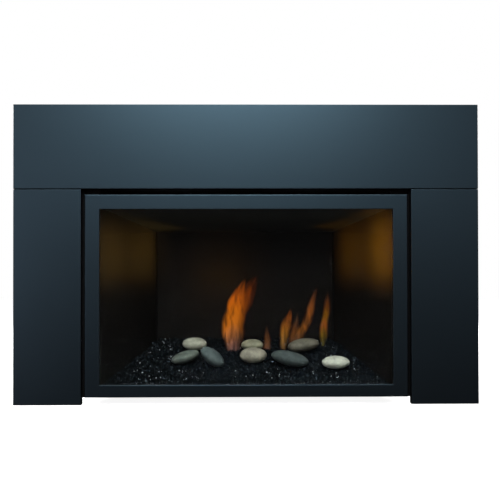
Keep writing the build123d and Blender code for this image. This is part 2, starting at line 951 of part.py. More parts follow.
flap_places = {"left": -flap_spacing / 2, "right": flap_spacing / 2}
flap_near = surround_depth + 62.0
flap_far = flap_near + flap_length
flap_rest = firebox_high + firebox_sheet + seat_gap
flap_pin_depth = flap_far + flap_pin_radius + flap_knuckle_wall
flap_pin_high = flap_rest + flap_pin_radius + flap_knuckle_wall
flap_knuckle = flap_pin_radius + flap_knuckle_wall
with BuildPart() as firebox_top:
    with BuildSketch(Plane.XY.offset(firebox_high)):
        firebox_plan(surround_depth, wrap_back + firebox_sheet, wrap_out)
    extrude(amount=firebox_sheet)
    with BuildSketch(Plane.XY.offset(firebox_high)):
        with Locations((collar_places[0], y_at(collar_depth))):
            Circle(collar_radius - collar_sheet)
    extrude(amount=firebox_sheet, mode=Mode.SUBTRACT)
    for across in flap_places.values():
        half = flap_width / 2 - flap_opening_margin
        slab(
            across - half,
            across + half,
            flap_near + flap_opening_margin,
            flap_far - flap_opening_margin,
            firebox_high,
            firebox_high + firebox_sheet,
            mode=Mode.SUBTRACT,
        )
        for side in (-1, 1):
            ear = sorted(
                (across + side * (flap_width / 2 + seat_gap), across + side * (flap_width / 2 + 2))
            )
            slab(
                *ear,
                flap_pin_depth - flap_knuckle,
                flap_pin_depth + flap_knuckle,
                firebox_high + firebox_sheet,
                flap_pin_high + flap_knuckle,
            )
        rod(
            (across - flap_width / 2 - 2, flap_pin_depth, flap_pin_high),
            (across + flap_width / 2 + 2, flap_pin_depth, flap_pin_high),
            flap_pin_radius,
        )
keep(firebox_top.part, "firebox_top")

for where, across in flap_places.items():
    left, right = across - flap_width / 2, across + flap_width / 2
    with BuildPart() as flap:
        slab(left, right, flap_near, flap_pin_depth, flap_rest, flap_rest + flap_sheet)
        rod(
            (left, flap_pin_depth, flap_pin_high), (right, flap_pin_depth, flap_pin_high), flap_knuckle
        )
        rod(
            (left - 1, flap_pin_depth, flap_pin_high),
            (right + 1, flap_pin_depth, flap_pin_high),
            flap_pin_radius + running_gap,
            mode=Mode.SUBTRACT,
        )
    keep(flap.part, f"relief_flap_{where}")

with BuildPart() as firebox_floor:
    side_prism(layer(floor_low - floor_sheet, floor_low, surround_depth, floor_back), face_half)
    with BuildSketch(Plane.XY):
        firebox_plan(surround_depth, floor_back, wrap_out)
    extrude(amount=firebox_high, mode=Mode.INTERSECT)
    with BuildSketch(bed_plane(0, burner_depth)):
        Rectangle(burner_length + 2 * seat_gap, burner_width + 2 * seat_gap)
    extrude(amount=-burner_cover - burner_height, mode=Mode.SUBTRACT)
    with BuildSketch(bed_plane(pilot_across, pilot_depth, drop=bed_thickness)):
        Rectangle(electrode_spacing + 10, 4 * pilot_radius)
    extrude(amount=-2 * floor_sheet, mode=Mode.SUBTRACT)
keep(firebox_floor.part, "firebox_floor")

liner_far = back_wall_plane - liner_end_gap
for where, side in (("left", -1), ("right", 1)):
    with BuildPart() as liner:
        with BuildSketch(Plane.XY):
            Polygon(
                (side * firebox_half(surround_depth), y_at(surround_depth)),
                (side * firebox_half(liner_far), y_at(liner_far)),
                (side * firebox_half(liner_far, liner_sheet), y_at(liner_far)),
                (side * firebox_half(surround_depth, liner_sheet), y_at(surround_depth)),
                align=None,
            )
        extrude(amount=firebox_high)
        side_prism(under_floor(-1, surround_depth - 1, back_wall_plane), face_half, Mode.SUBTRACT)
    keep(liner.part, f"liner_{where}")

liner_back_half = firebox_half(back_wall_plane + liner_sheet, liner_out) - seat_gap
with BuildPart() as liner_back:
    liner_back_low = floor_height(back_wall_plane) + liner_air_gap
    slab(
        -liner_back_half,
        liner_back_half,
        back_wall_plane,
        back_wall_plane + liner_sheet,
        liner_back_low,
        firebox_high,
    )
    for across in (-liner_back_half * 0.9, 0, liner_back_half * 0.9):
        slab(
            across - liner_sheet / 2,
            across + liner_sheet / 2,
            back_wall_plane + liner_sheet,
            wrap_back,
            air_slot_low + air_slot_height + liner_air_gap,
            firebox_high,
        )
keep(liner_back.part, "liner_back")

# The ceiling baffle slopes down to the back and hangs from the firebox top
baffle_near = surround_depth + ceiling_front_gap
baffle_far = back_wall_plane - seat_gap
baffle_front_high = view_high + 2.0
baffle_back_high = view_high - ceiling_drop
baffle_slope = (baffle_back_high - baffle_front_high) / (baffle_far - baffle_near)
hanger_middle = (baffle_near + baffle_far) / 2
with BuildPart() as baffle:
    side_prism(
        (
            (y_at(baffle_near), baffle_front_high),
            (y_at(baffle_far), baffle_back_high),
            (y_at(baffle_far), baffle_back_high + liner_sheet),
            (y_at(baffle_near), baffle_front_high + liner_sheet),
        ),
        face_half,
    )
    with BuildSketch(Plane.XY):
        firebox_plan(baffle_near, baffle_far, -seat_gap)
    extrude(amount=firebox_high, mode=Mode.INTERSECT)
    for across in (-flap_spacing / 4, flap_spacing / 4):
        with BuildSketch(Plane.YZ.offset(across)):
            near, far = hanger_middle - flap_width / 4, hanger_middle + flap_width / 4
            Polygon(
                (y_at(near), baffle_front_high + baffle_slope * (near - baffle_near)),
                (y_at(far), baffle_front_high + baffle_slope * (far - baffle_near)),
                (y_at(far), firebox_high),
                (y_at(near), firebox_high),
                align=None,
            )
        extrude(amount=liner_sheet)
keep(baffle.part, "baffle")

# ---------------------------------------------------------------- vent
flue_plate_high = casing_high + flue_plate_sheet
with BuildPart() as flue_plate:
    slab(
        -flue_plate_width / 2,
        flue_plate_width / 2,
        collar_depth - flue_plate_length / 2,
        collar_depth + flue_plate_length / 2,
        casing_high,
        flue_plate_high,
    )
    with BuildSketch(Plane.XY.offset(casing_high)):
        with Locations(*[(x, y_at(collar_depth)) for x in collar_places]):
            Circle(collar_radius - collar_sheet)
        with Locations(*[(x, y_at(d)) for x, d in flue_screw_places]):
            Circle(screw_shank_radius + 0.1)
    extrude(amount=flue_plate_sheet, mode=Mode.SUBTRACT)
keep(flue_plate.part, "flue_plate")
flue_screws = screws_along(
    [(x, d, flue_plate_high) for x, d in flue_screw_places], (0, 0, -1)
)
keep(Compound(children=[casing_screws.part, flue_screws]), "casing_screws")


def spigot(across, low, high, flange, name):
    """A thin tube on the vent's axis with a flange at its foot."""
    with BuildPart() as tube:
        with BuildSketch(Plane.XY.offset(low)):
            with Locations((across, y_at(collar_depth))):
                Circle(collar_radius)
        extrude(amount=high - low)
        with BuildSketch(Plane.XY.offset(low)):
            with Locations((across, y_at(collar_depth))):
                Circle(collar_radius + flange)
        extrude(amount=collar_sheet)
        with BuildSketch(Plane.XY.offset(low)):
            with Locations((across, y_at(collar_depth))):
                Circle(collar_radius - collar_sheet)
        extrude(amount=high - low, mode=Mode.SUBTRACT)
    keep(tube.part, name)


collar_top = flue_plate_high + collar_height
spigot(collar_places[0], flue_plate_high, collar_top, collar_flange, "exhaust_collar")
spigot(collar_places[1], flue_plate_high, collar_top, collar_flange, "intake_collar")
firebox_top_high = firebox_high + firebox_sheet
exhaust_flange = collar_flange - 4.0
spigot(collar_places[0], firebox_top_high, casing_under_top, exhaust_flange, "exhaust_duct")

# The intake duct: a box under the intake collar, and a channel down the back of the firebox
duct_left = collar_places[1] - duct_width / 2
duct_right = collar_places[1] + duct_width / 2
duct_near = collar_depth - collar_radius - 4.0
duct_back = floor_back + duct_depth
duct_low = air_slot_low - duct_foot_gap
duct_inside_left = duct_left + duct_sheet
duct_inside_right = duct_right - duct_sheet
duct_inside_back = duct_back - duct_sheet
duct_ceiling = casing_under_top - duct_sheet
duct_front_inside = floor_back + duct_sheet
with BuildPart() as duct_top:
    slab(duct_left, duct_right, duct_near, duct_back, duct_ceiling, casing_under_top)
    with BuildSketch(Plane.XY.offset(casing_under_top)):
        with Locations((collar_places[1], y_at(collar_depth))):
            Circle(collar_radius - collar_sheet)
    extrude(amount=-duct_sheet, mode=Mode.SUBTRACT)
with BuildPart() as duct_channel_front:
    slab(
        duct_inside_left,
        duct_inside_right,
        floor_back,
        duct_front_inside,
        duct_low,
        firebox_top_high + duct_sheet,
    )
    slab(
        duct_left + duct_slot_margin,
        duct_right - duct_slot_margin,
        floor_back,
        duct_front_inside,
        air_slot_low,
        air_slot_low + air_slot_height,
        mode=Mode.SUBTRACT,
    )
duct_sheets = [duct_top.part, duct_channel_front.part]
for edges in ((duct_left, duct_inside_left), (duct_inside_right, duct_right)):
    duct_sheets += [
        plate(*edges, duct_near, duct_back, firebox_top_high, duct_ceiling),
        plate(*edges, floor_back, duct_back, duct_low, firebox_top_high),
    ]
inside = (duct_inside_left, duct_inside_right)
duct_sheets += [
    plate(*inside, duct_near, duct_near + duct_sheet, firebox_top_high, duct_ceiling),
    plate(
        *inside,
        duct_near + duct_sheet,
        floor_back,
        firebox_top_high,
        firebox_top_high + duct_sheet,
    ),
    plate(*inside, duct_inside_back, duct_back, duct_low, duct_ceiling),
    plate(*inside, duct_front_inside, duct_inside_back, duct_low, duct_low + duct_sheet),
]
keep(Compound(children=duct_sheets), "intake_duct")

# ---------------------------------------------------------------- burner and gas train
burner_middle = bed_height(burner_depth) - burner_cover - burner_height / 2
venturi_high = base_high + venturi_lift
venturi_start = rod_across + shutter_length / 2 + 2.0
venturi_end = venturi_start - venturi_run
with BuildPart() as burner_pan:
    with BuildSketch(bed_plane(0, burner_depth, burner_cover)):
        Rectangle(burner_length, burner_width)
    extrude(amount=-burner_height)
    with BuildSketch(bed_plane(0, burner_depth, floor_sunk)):
        Rectangle(burner_length + 2 * burner_flange, burner_width + 2 * burner_flange)
    extrude(amount=burner_sheet)
    with BuildSketch(bed_plane(0, burner_depth, burner_cover + burner_sheet)):
        Rectangle(burner_length - 2 * burner_sheet, burner_width - 2 * burner_sheet)
    extrude(amount=2 * burner_sheet - burner_height, mode=Mode.SUBTRACT)
    with BuildSketch(bed_plane(0, burner_depth, burner_cover)):
        with GridLocations(
            burner_length / (port_columns + 1),
            burner_width / (port_rows + 1),
            port_columns,
            port_rows,
        ):
            Circle(port_radius)
    extrude(amount=-burner_sheet, mode=Mode.SUBTRACT)
    rod(
        (venturi_end, burner_depth, venturi_high),
        (venturi_end, burner_depth, burner_middle),
        venturi_radius - venturi_wall,
        mode=Mode.SUBTRACT,
    )
keep(burner_pan.part, "burner_pan")


def pipe(points, bend, outer, wall, name, trim=None):
    """A bent pipe through points given as (across, depth, height)."""
    with BuildPart() as run:
        with BuildLine() as centre_line:
            FilletPolyline(*[(x, y_at(d), z) for x, d, z in points], radius=bend)
        path = centre_line.line
        with BuildSketch(Plane(origin=path @ 0, z_dir=path % 0)):
            Circle(outer)
            Circle(outer - wall, mode=Mode.SUBTRACT)
        sweep(path=path)
        if trim:
            trim()
    keep(run.part, name)


def trim_venturi():
    """Cuts the mixing tube off at the burner's sloping underside, and opens its air windows."""
    with BuildSketch(bed_plane(0, burner_depth, burner_cover + burner_height)) as underside:
        Rectangle(burner_length, burner_width)
    extrude(underside.sketch, amount=burner_height, mode=Mode.SUBTRACT)
    slab(
        rod_across - air_window_length + 1,
        rod_across + 1,
        burner_depth - 2 * venturi_radius,
        burner_depth + 2 * venturi_radius,
        venturi_high - venturi_radius / 2,
        venturi_high + venturi_radius / 2,
        mode=Mode.SUBTRACT,
    )


pipe(
    (
        (venturi_start, burner_depth, venturi_high),
        (venturi_end, burner_depth, venturi_high),
        (venturi_end, burner_depth, burner_middle),
    ),
    venturi_bend,
    venturi_radius,
    venturi_wall,
    "burner_venturi",
    trim_venturi,
)

# The air shutter: a sleeve on the mixing tube, worked by a rod from behind the front frame
shutter_inner = venturi_radius + running_gap
shutter_outer = shutter_inner + shutter_wall
knob_front = frame_set_back + frame_lip + 2.0
knob_back = face_front - 6.0
with BuildPart() as air_shutter:
    axis_low = (rod_across - shutter_length / 2, burner_depth, venturi_high)
    axis_high = (rod_across + shutter_length / 2, burner_depth, venturi_high)
    rod(axis_low, axis_high, shutter_outer)
    slab(
        rod_across - 3,
        rod_across + 3,
        burner_depth - shutter_rod_radius,
        burner_depth + shutter_rod_radius,
        rod_high - shutter_rod_radius,
        venturi_high,
    )
    rod(axis_low, axis_high, shutter_inner, mode=Mode.SUBTRACT)
    rod(
        (rod_across, knob_back, rod_high), (rod_across, burner_depth, rod_high), shutter_rod_radius
    )
    rod(
        (rod_across, knob_front, rod_high), (rod_across, knob_back, rod_high), shutter_knob_radius
    )
keep(air_shutter.part, "air_shutter")

orifice_front = venturi_start + 2.0
orifice_seat = orifice_front + orifice_length / 4
orifice_end = orifice_front + orifice_length
with BuildPart() as gas_orifice:
    with BuildSketch(Plane.YZ.offset(orifice_seat)):
        with Locations((y_at(burner_depth), venturi_high)):
            RegularPolygon(orifice_radius, 6)
    extrude(amount=orifice_end - orifice_seat)
    rod(
        (orifice_front, burner_depth, venturi_high),
        (orifice_seat, burner_depth, venturi_high),
        orifice_radius / 2,
    )
    rod(
        (orifice_front, burner_depth, venturi_high),
        (orifice_end, burner_depth, venturi_high),
        port_radius,
        mode=Mode.SUBTRACT,
    )
keep(gas_orifice.part, "gas_orifice")

valve_left = valve_across - valve_width / 2
valve_right = valve_across + valve_width / 2
valve_near = valve_depth - valve_length / 2
valve_far = valve_depth + valve_length / 2
valve_middle = base_high + valve_height / 2
stem_radius = 3.0
with BuildPart() as gas_valve:
    slab(valve_left, valve_right, valve_near, valve_far, base_high, base_high + valve_height)
    chamfer(gas_valve.edges().filter_by(Axis.Z), 3.0)
    rod(
        (valve_left - valve_length / 2, valve_depth, valve_middle),
        (valve_left, valve_depth, valve_middle),
        valve_height / 3,
    )
    rod(
        (valve_across, valve_near - valve_knob_height + 4, valve_middle),
        (valve_across, valve_near, valve_middle),
        stem_radius,
    )
keep(gas_valve.part, "gas_valve")

with BuildPart() as valve_knob:
    knob_face = valve_near - valve_knob_height
    rod(
        (valve_across, knob_face, valve_middle),
        (valve_across, valve_near - seat_gap, valve_middle),
        valve_knob_radius,
    )
    chamfer(valve_knob.faces().sort_by(Axis.Y)[0].edges(), 1.0)
    slab(
        valve_across - 2,
        valve_across + 2,
        knob_face - 3,
        knob_face,
        valve_middle - valve_knob_radius + 1,
        valve_middle + valve_knob_radius - 1,
    )
    rod(
        (valve_across, knob_face + 4 - seat_gap, valve_middle),
        (valve_across, valve_near, valve_middle),
        stem_radius + running_gap,
        mode=Mode.SUBTRACT,
    )
keep(valve_knob.part, "valve_knob")

pipe(
    (
        (orifice_end, burner_depth, venturi_high),
        (valve_across, burner_depth, venturi_high),
        (valve_across, valve_far, venturi_high),
    ),
    pipe_bend,
    pipe_radius,
    pipe_wall,
    "gas_manifold",
)


def wall_fitting(side, neck, bore, reach, name):
    """A fitting through a casing cheek: a neck, and a nut on each side of the sheet."""
    outside = side * casing_half
    inside = side * (casing_half - casing_sheet)
    with BuildPart() as fitting:
        rod(
            (inside - side * fitting_inner, service_depth, service_high),
            (outside + side * reach, service_depth, service_high),
            neck,
        )
        for start, thickness in ((outside, side * nut_thickness), (inside, -side * nut_thickness)):
            with BuildSketch(Plane.YZ.offset(start)):
                with Locations((y_at(service_depth), service_high)):
                    RegularPolygon(neck + nut_rim, 6)
            extrude(amount=thickness)
        rod(
            (inside - side * fitting_inner, service_depth, service_high),
            (outside + side * reach, service_depth, service_high),
            bore,
            mode=Mode.SUBTRACT,
        )
    keep(fitting.part, name)


wall_fitting(1, gas_fitting_radius, gas_fitting_radius - 3.0, gas_fitting_length, "gas_inlet")
wall_fitting(-1, gland_neck_radius, gland_bore_radius, nut_thickness + 4.0, "mains_gland")

supply_turn = valve_right + 2.5 * pipe_bend
pipe(
    (
        (casing_half - casing_sheet - fitting_inner, service_depth, service_high),
        (supply_turn, service_depth, service_high),
        (supply_turn, valve_depth, service_high),
        (valve_right, valve_depth, service_high),
    ),
    pipe_bend,
    pipe_radius,
    pipe_wall,
    "gas_supply_tube",
)

# The pilot stands through the floor behind a pebble, on a flange that lies on the slope
pilot_low = floor_height(pilot_depth) - 24.0
pilot_top = bed_height(pilot_depth) + 5.0
electrode_radius = 2.4
electrode_places = (pilot_across - electrode_spacing / 2, pilot_across + electrode_spacing / 2)
pilot_flange = (electrode_spacing + 18, 5 * pilot_radius)
with BuildPart() as pilot_burner:
    with BuildSketch(bed_plane(pilot_across, pilot_depth, drop=bed_thickness)):
        Rectangle(*pilot_flange)
    extrude(amount=burner_sheet)
    for across in electrode_places:
        rod(
            (across, pilot_depth, pilot_low),
            (across, pilot_depth, pilot_top),
            electrode_radius + 0.1,
            mode=Mode.SUBTRACT,
        )
    rod(
        (pilot_across, pilot_depth, pilot_low),
        (pilot_across, pilot_depth, pilot_top),
        pilot_radius,
    )
    rod(
        (pilot_across, pilot_depth, pilot_low),
        (pilot_across, pilot_depth, pilot_top - 2),
        pilot_radius - 1.5,
        mode=Mode.SUBTRACT,
    )
    for across in (-2, 2):
        rod(
            (pilot_across + across, pilot_depth, pilot_top - 3),
            (pilot_across + across, pilot_depth, pilot_top),
            0.8,
            mode=Mode.SUBTRACT,
        )
keep(pilot_burner.part, "pilot_burner")

with BuildPart() as pilot_electrodes:
    for across in electrode_places:
        rod(
            (across, pilot_depth, pilot_low),
            (across, pilot_depth, floor_height(pilot_depth) + bed_thickness / 2),
            electrode_radius,
        )
        rod(
            (across, pilot_depth, floor_height(pilot_depth)),
            (across, pilot_depth, pilot_top + 3),
            electrode_radius / 2,
        )
keep(pilot_electrodes.part, "pilot_electrodes")

# ---------------------------------------------------------------- media bed and pebbles
with BuildPart() as media_bed:
    near, far = surround_depth + seat_gap, back_wall_plane - seat_gap
    side_prism(layer(floor_low, bed_low, near, far), face_half)
    with BuildSketch(Plane.XY):
        firebox_plan(near, far, -seat_gap)
    extrude(amount=firebox_high, mode=Mode.INTERSECT)
    with BuildSketch(bed_plane(0, burner_depth, burner_cover)):
        Rectangle(burner_length, burner_width)
    extrude(amount=-burner_height, mode=Mode.SUBTRACT)
    with BuildSketch(bed_plane(0, burner_depth, floor_sunk - burner_sheet)):
        Rectangle(burner_length + 2 * burner_flange, burner_width + 2 * burner_flange)
    extrude(amount=-burner_height, mode=Mode.SUBTRACT)
    with BuildSketch(bed_plane(pilot_across, pilot_depth, drop=bed_thickness)):
        Rectangle(pilot_flange[0] + 2 * seat_gap, pilot_flange[1] + 2 * seat_gap)
    extrude(amount=2 * bed_thickness, mode=Mode.SUBTRACT)
keep(media_bed.part, "media_bed")


def stone(length, width, height):
    """A pebble as an ellipsoid about the origin."""
    with BuildPart() as body:
        Sphere(1)
        scale(by=(length, width, height))
    return body.part


def resting(across, depth, length, width, height, tip):
    """Where a tipped pebble's centre stands when it rests on the sloping bed."""
    lean, slope = math.radians(tip), math.radians(bed_angle)
    reach = math.hypot(
        length * math.cos(slope) * math.sin(lean),
        width * math.sin(slope),
        height * math.cos(slope) * math.cos(lean),
    )
    lift = (reach + seat_gap) / math.cos(slope)
    return Location((across, y_at(depth), bed_height(depth) + lift), (0, -tip, 0))


for name, places in (
    ("pale_pebbles", pale_pebble_places),
    ("grey_pebbles", grey_pebble_places),
):
    bodies = [stone(*place[2:5]).moved(resting(*place)) for place in places]
    with BuildPart() as group:
        add(bodies)
    keep(group.part, name)

# ---------------------------------------------------------------- remote receiver
receiver_near = surround_depth + receiver_set_back
slot_reach = 6.0
slot_play = (slider_width / 2 + seat_gap, slider_width / 2 + slider_travel + seat_gap)
with BuildPart() as receiver:
    slab(
        receiver_across - receiver_width / 2,
        receiver_across + receiver_width / 2,
        receiver_near,
        receiver_near + receiver_length,
        base_high,
        base_high + receiver_height,
    )
    slab(
        receiver_across - slot_play[0],
        receiver_across + slot_play[1],
        receiver_near,
        receiver_near + slot_reach,
        slider_high - slider_height / 2 - running_gap,
        slider_high + slider_height / 2 + running_gap,
        mode=Mode.SUBTRACT,
    )
keep(receiver.part, "receiver")

with BuildPart() as receiver_slider:
    slab(
        receiver_across - slider_width / 2,
        receiver_across + slider_width / 2,
        knob_back - 2,
        receiver_near + slot_reach - seat_gap,
        slider_high - slider_height / 2,
        slider_high + slider_height / 2,
    )
    chamfer(receiver_slider.faces().sort_by(Axis.Y)[0].edges(), 0.8)
keep(receiver_slider.part, "receiver_slider")

# ---------------------------------------------------------------- blower
blower_depth = (floor_back + rear_depth - casing_sheet) / 2
housing_inner = blower_wheel_radius + blower_clearance
housing_outer = housing_inner + blower_sheet
blower_high = base_high + housing_outer + 1.0
end_plate_inner = blower_wheel_length / 2 + 3.0
end_plate_outer = end_plate_inner + blower_sheet
with BuildPart() as blower_housing:
    with BuildSketch(Plane.YZ.offset(-end_plate_outer)):
        with Locations((y_at(blower_depth), blower_high)):
            Circle(housing_outer)
            Circle(housing_inner, mode=Mode.SUBTRACT)
        with Locations((y_at(blower_depth), blower_high + 2 * housing_outer)):
            Rectangle(4 * housing_outer, 4 * housing_outer - housing_inner, mode=Mode.SUBTRACT)
        with Locations((y_at(blower_depth) - housing_outer, blower_high)):
            Rectangle(2 * housing_inner, housing_outer, mode=Mode.SUBTRACT)
    extrude(amount=2 * end_plate_outer)
    for start in (-end_plate_outer, end_plate_inner):
        with BuildSketch(Plane.YZ.offset(start)):
            with Locations((y_at(blower_depth), (base_high + blower_high + housing_outer) / 2)):
                Rectangle(2 * housing_outer, blower_high + housing_outer - base_high)
        extrude(amount=blower_sheet)
    rod(
        (-end_plate_outer - 1, blower_depth, blower_high),
        (end_plate_outer + 1, blower_depth, blower_high),
        blower_shaft_radius + running_gap,
        mode=Mode.SUBTRACT,
    )
keep(blower_housing.part, "blower_housing")

wheel_half = blower_wheel_length / 2
with BuildPart() as blower_wheel:
    with BuildSketch(Plane.YZ.offset(-wheel_half)):
        with Locations((y_at(blower_depth), blower_high)):
            with PolarLocations(blower_wheel_radius - 3.5, blower_blades):
                Rectangle(5, blower_blade_sheet, rotation=30)
    extrude(amount=blower_wheel_length)
    for across in (-wheel_half, -blower_blade_sheet / 2, wheel_half - blower_blade_sheet):
        rod(
            (across, blower_depth, blower_high),
            (across + blower_blade_sheet, blower_depth, blower_high),
            blower_wheel_radius,
        )
    rod(
        (-end_plate_outer - 3, blower_depth, blower_high),
        (end_plate_outer + motor_length / 4, blower_depth, blower_high),
        blower_shaft_radius,
    )
keep(blower_wheel.part, "blower_wheel")

with BuildPart() as blower_motor:
    rod(
        (end_plate_outer, blower_depth, blower_high),
        (end_plate_outer + motor_length, blower_depth, blower_high),
        motor_radius,
    )
    fillet(blower_motor.faces().sort_by(Axis.X)[-1].edges(), 4.0)
    rod(
        (end_plate_outer, blower_depth, blower_high),
        (end_plate_outer + motor_length / 2, blower_depth, blower_high),
        blower_shaft_radius + running_gap,
        mode=Mode.SUBTRACT,
    )
keep(blower_motor.part, "blower_motor")
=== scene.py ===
"""Dresses the fireplace insert: finishes, crushed glass, pebbles, flames, light and camera."""

import json
import logging
import math
from dataclasses import dataclass, field
from enum import Enum

import bpy
import numpy as np
from mathutils import Euler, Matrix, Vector


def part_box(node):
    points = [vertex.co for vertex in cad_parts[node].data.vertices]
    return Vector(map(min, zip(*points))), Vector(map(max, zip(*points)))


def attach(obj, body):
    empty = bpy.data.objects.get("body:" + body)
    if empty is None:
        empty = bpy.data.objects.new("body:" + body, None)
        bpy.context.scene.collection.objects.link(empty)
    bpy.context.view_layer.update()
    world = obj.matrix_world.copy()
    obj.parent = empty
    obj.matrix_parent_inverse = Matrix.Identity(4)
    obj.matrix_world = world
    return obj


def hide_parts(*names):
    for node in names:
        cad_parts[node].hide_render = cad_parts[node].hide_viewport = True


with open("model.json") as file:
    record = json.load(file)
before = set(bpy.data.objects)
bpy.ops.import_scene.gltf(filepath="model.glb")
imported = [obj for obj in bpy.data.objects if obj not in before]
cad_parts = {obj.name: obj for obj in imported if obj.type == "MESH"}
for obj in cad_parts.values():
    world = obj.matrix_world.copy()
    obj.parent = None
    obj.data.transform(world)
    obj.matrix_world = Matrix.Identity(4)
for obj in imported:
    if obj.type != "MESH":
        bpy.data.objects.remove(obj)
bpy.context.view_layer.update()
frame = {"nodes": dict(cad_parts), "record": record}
MM = 0.001
LOG = logging.getLogger("insert")
Pair = tuple[float, float]
Triple = tuple[float, float, float]
Colour = tuple[float, float, float, float]
Socket = bpy.types.NodeSocket


def linear(colour: str) -> Colour:
    """Turns a colour written as sRGB hex into linear light.

    Each channel c is c / 12.92 below 0.04045, and ((c + 0.055) / 1.055) ** 2.4 above it.

    Args:
        colour: the colour as "#rrggbb".

    Returns:
        Red, green, blue and an alpha of 1.
    """
    channels = [int(colour[i : i + 2], 16) / 255 for i in (1, 3, 5)]
    red, green, blue = (
        c / 12.92 if c <= 0.04045 else ((c + 0.055) / 1.055) ** 2.4 for c in channels
    )
    return red, green, blue, 1.0


def add(
    tree: bpy.types.NodeTree, kind: str, inputs: dict | None = None, **settings: object
) -> bpy.types.Node:
    """Adds a node with its settings, its input values and its links.

    Args:
        tree: the node tree that gets the node.
        kind: Blender's name for the node type.
        inputs: input name or number, each with a value or with the output that feeds it.
        settings: the node's own properties.

    Returns:
        The new node.
    """
    node = tree.nodes.new(kind)
    for name, value in settings.items():
        setattr(node, name, value)
    for name, value in (inputs or {}).items():
        if isinstance(value, Socket):
            tree.links.new(value, node.inputs[name])
        else:
            node.inputs[name].default_value = value
    return node


def per_metre(size_mm: float) -> float:
    """Gives the texture scale at which one feature is size_mm wide."""
    return 1.0 / (size_mm * MM)


def ease(part: np.ndarray) -> np.ndarray:
    """Gives 3 u u - 2 u u u for each u, held between 0 and 1 first."""
    held = np.clip(part, 0, 1)
    return held * held * (3 - 2 * held)


def ripple(level: float, at: np.ndarray, phase: float, waves: tuple[Pair, ...]) -> np.ndarray:
    """Lays waves on a level: the nth adds its size times sin(its rate times at + n times phase).

    Args:
        level: the value without waves.
        at: the positions to read.
        phase: the first wave's phase, in radians.
        waves: each wave's size and rate.

    Returns:
        One value for each position.
    """
    total = np.full(at.shape, level)
    for number, (size, rate) in enumerate(waves, 1):
        total = total + size * np.sin(rate * at + number * phase)
    return total


def smooth_curve(at: np.ndarray, values: np.ndarray, wanted: np.ndarray) -> np.ndarray:
    """Reads a smooth curve through knots.

    Between two knots it is the cubic whose slopes at the knots are those of the chords round
    them: h00 a + h10 s + h01 b + h11 s', with the usual Hermite weights.

    Args:
        at: the knots' positions.
        values: the knots' values.
        wanted: the positions to read.

    Returns:
        One value for each position.
    """
    slopes = np.gradient(values, at)
    k = np.clip(np.searchsorted(at, wanted) - 1, 0, len(at) - 2)
    step = at[k + 1] - at[k]
    u = (wanted - at[k]) / step
    return (
        (2 * u**3 - 3 * u**2 + 1) * values[k]
        + (u**3 - 2 * u**2 + u) * step * slopes[k]
        + (3 * u**2 - 2 * u**3) * values[k + 1]
        + (u**3 - u**2) * step * slopes[k + 1]
    )


@dataclass(frozen=True)
class Noise:
    """A noise: a feature's width and finer layers. A small scale draws it out along an axis."""

    size_mm: float
    detail: float
    roughness: float = 0.5
    distortion: float = 0.0
    scale: Triple = (1.0, 1.0, 1.0)


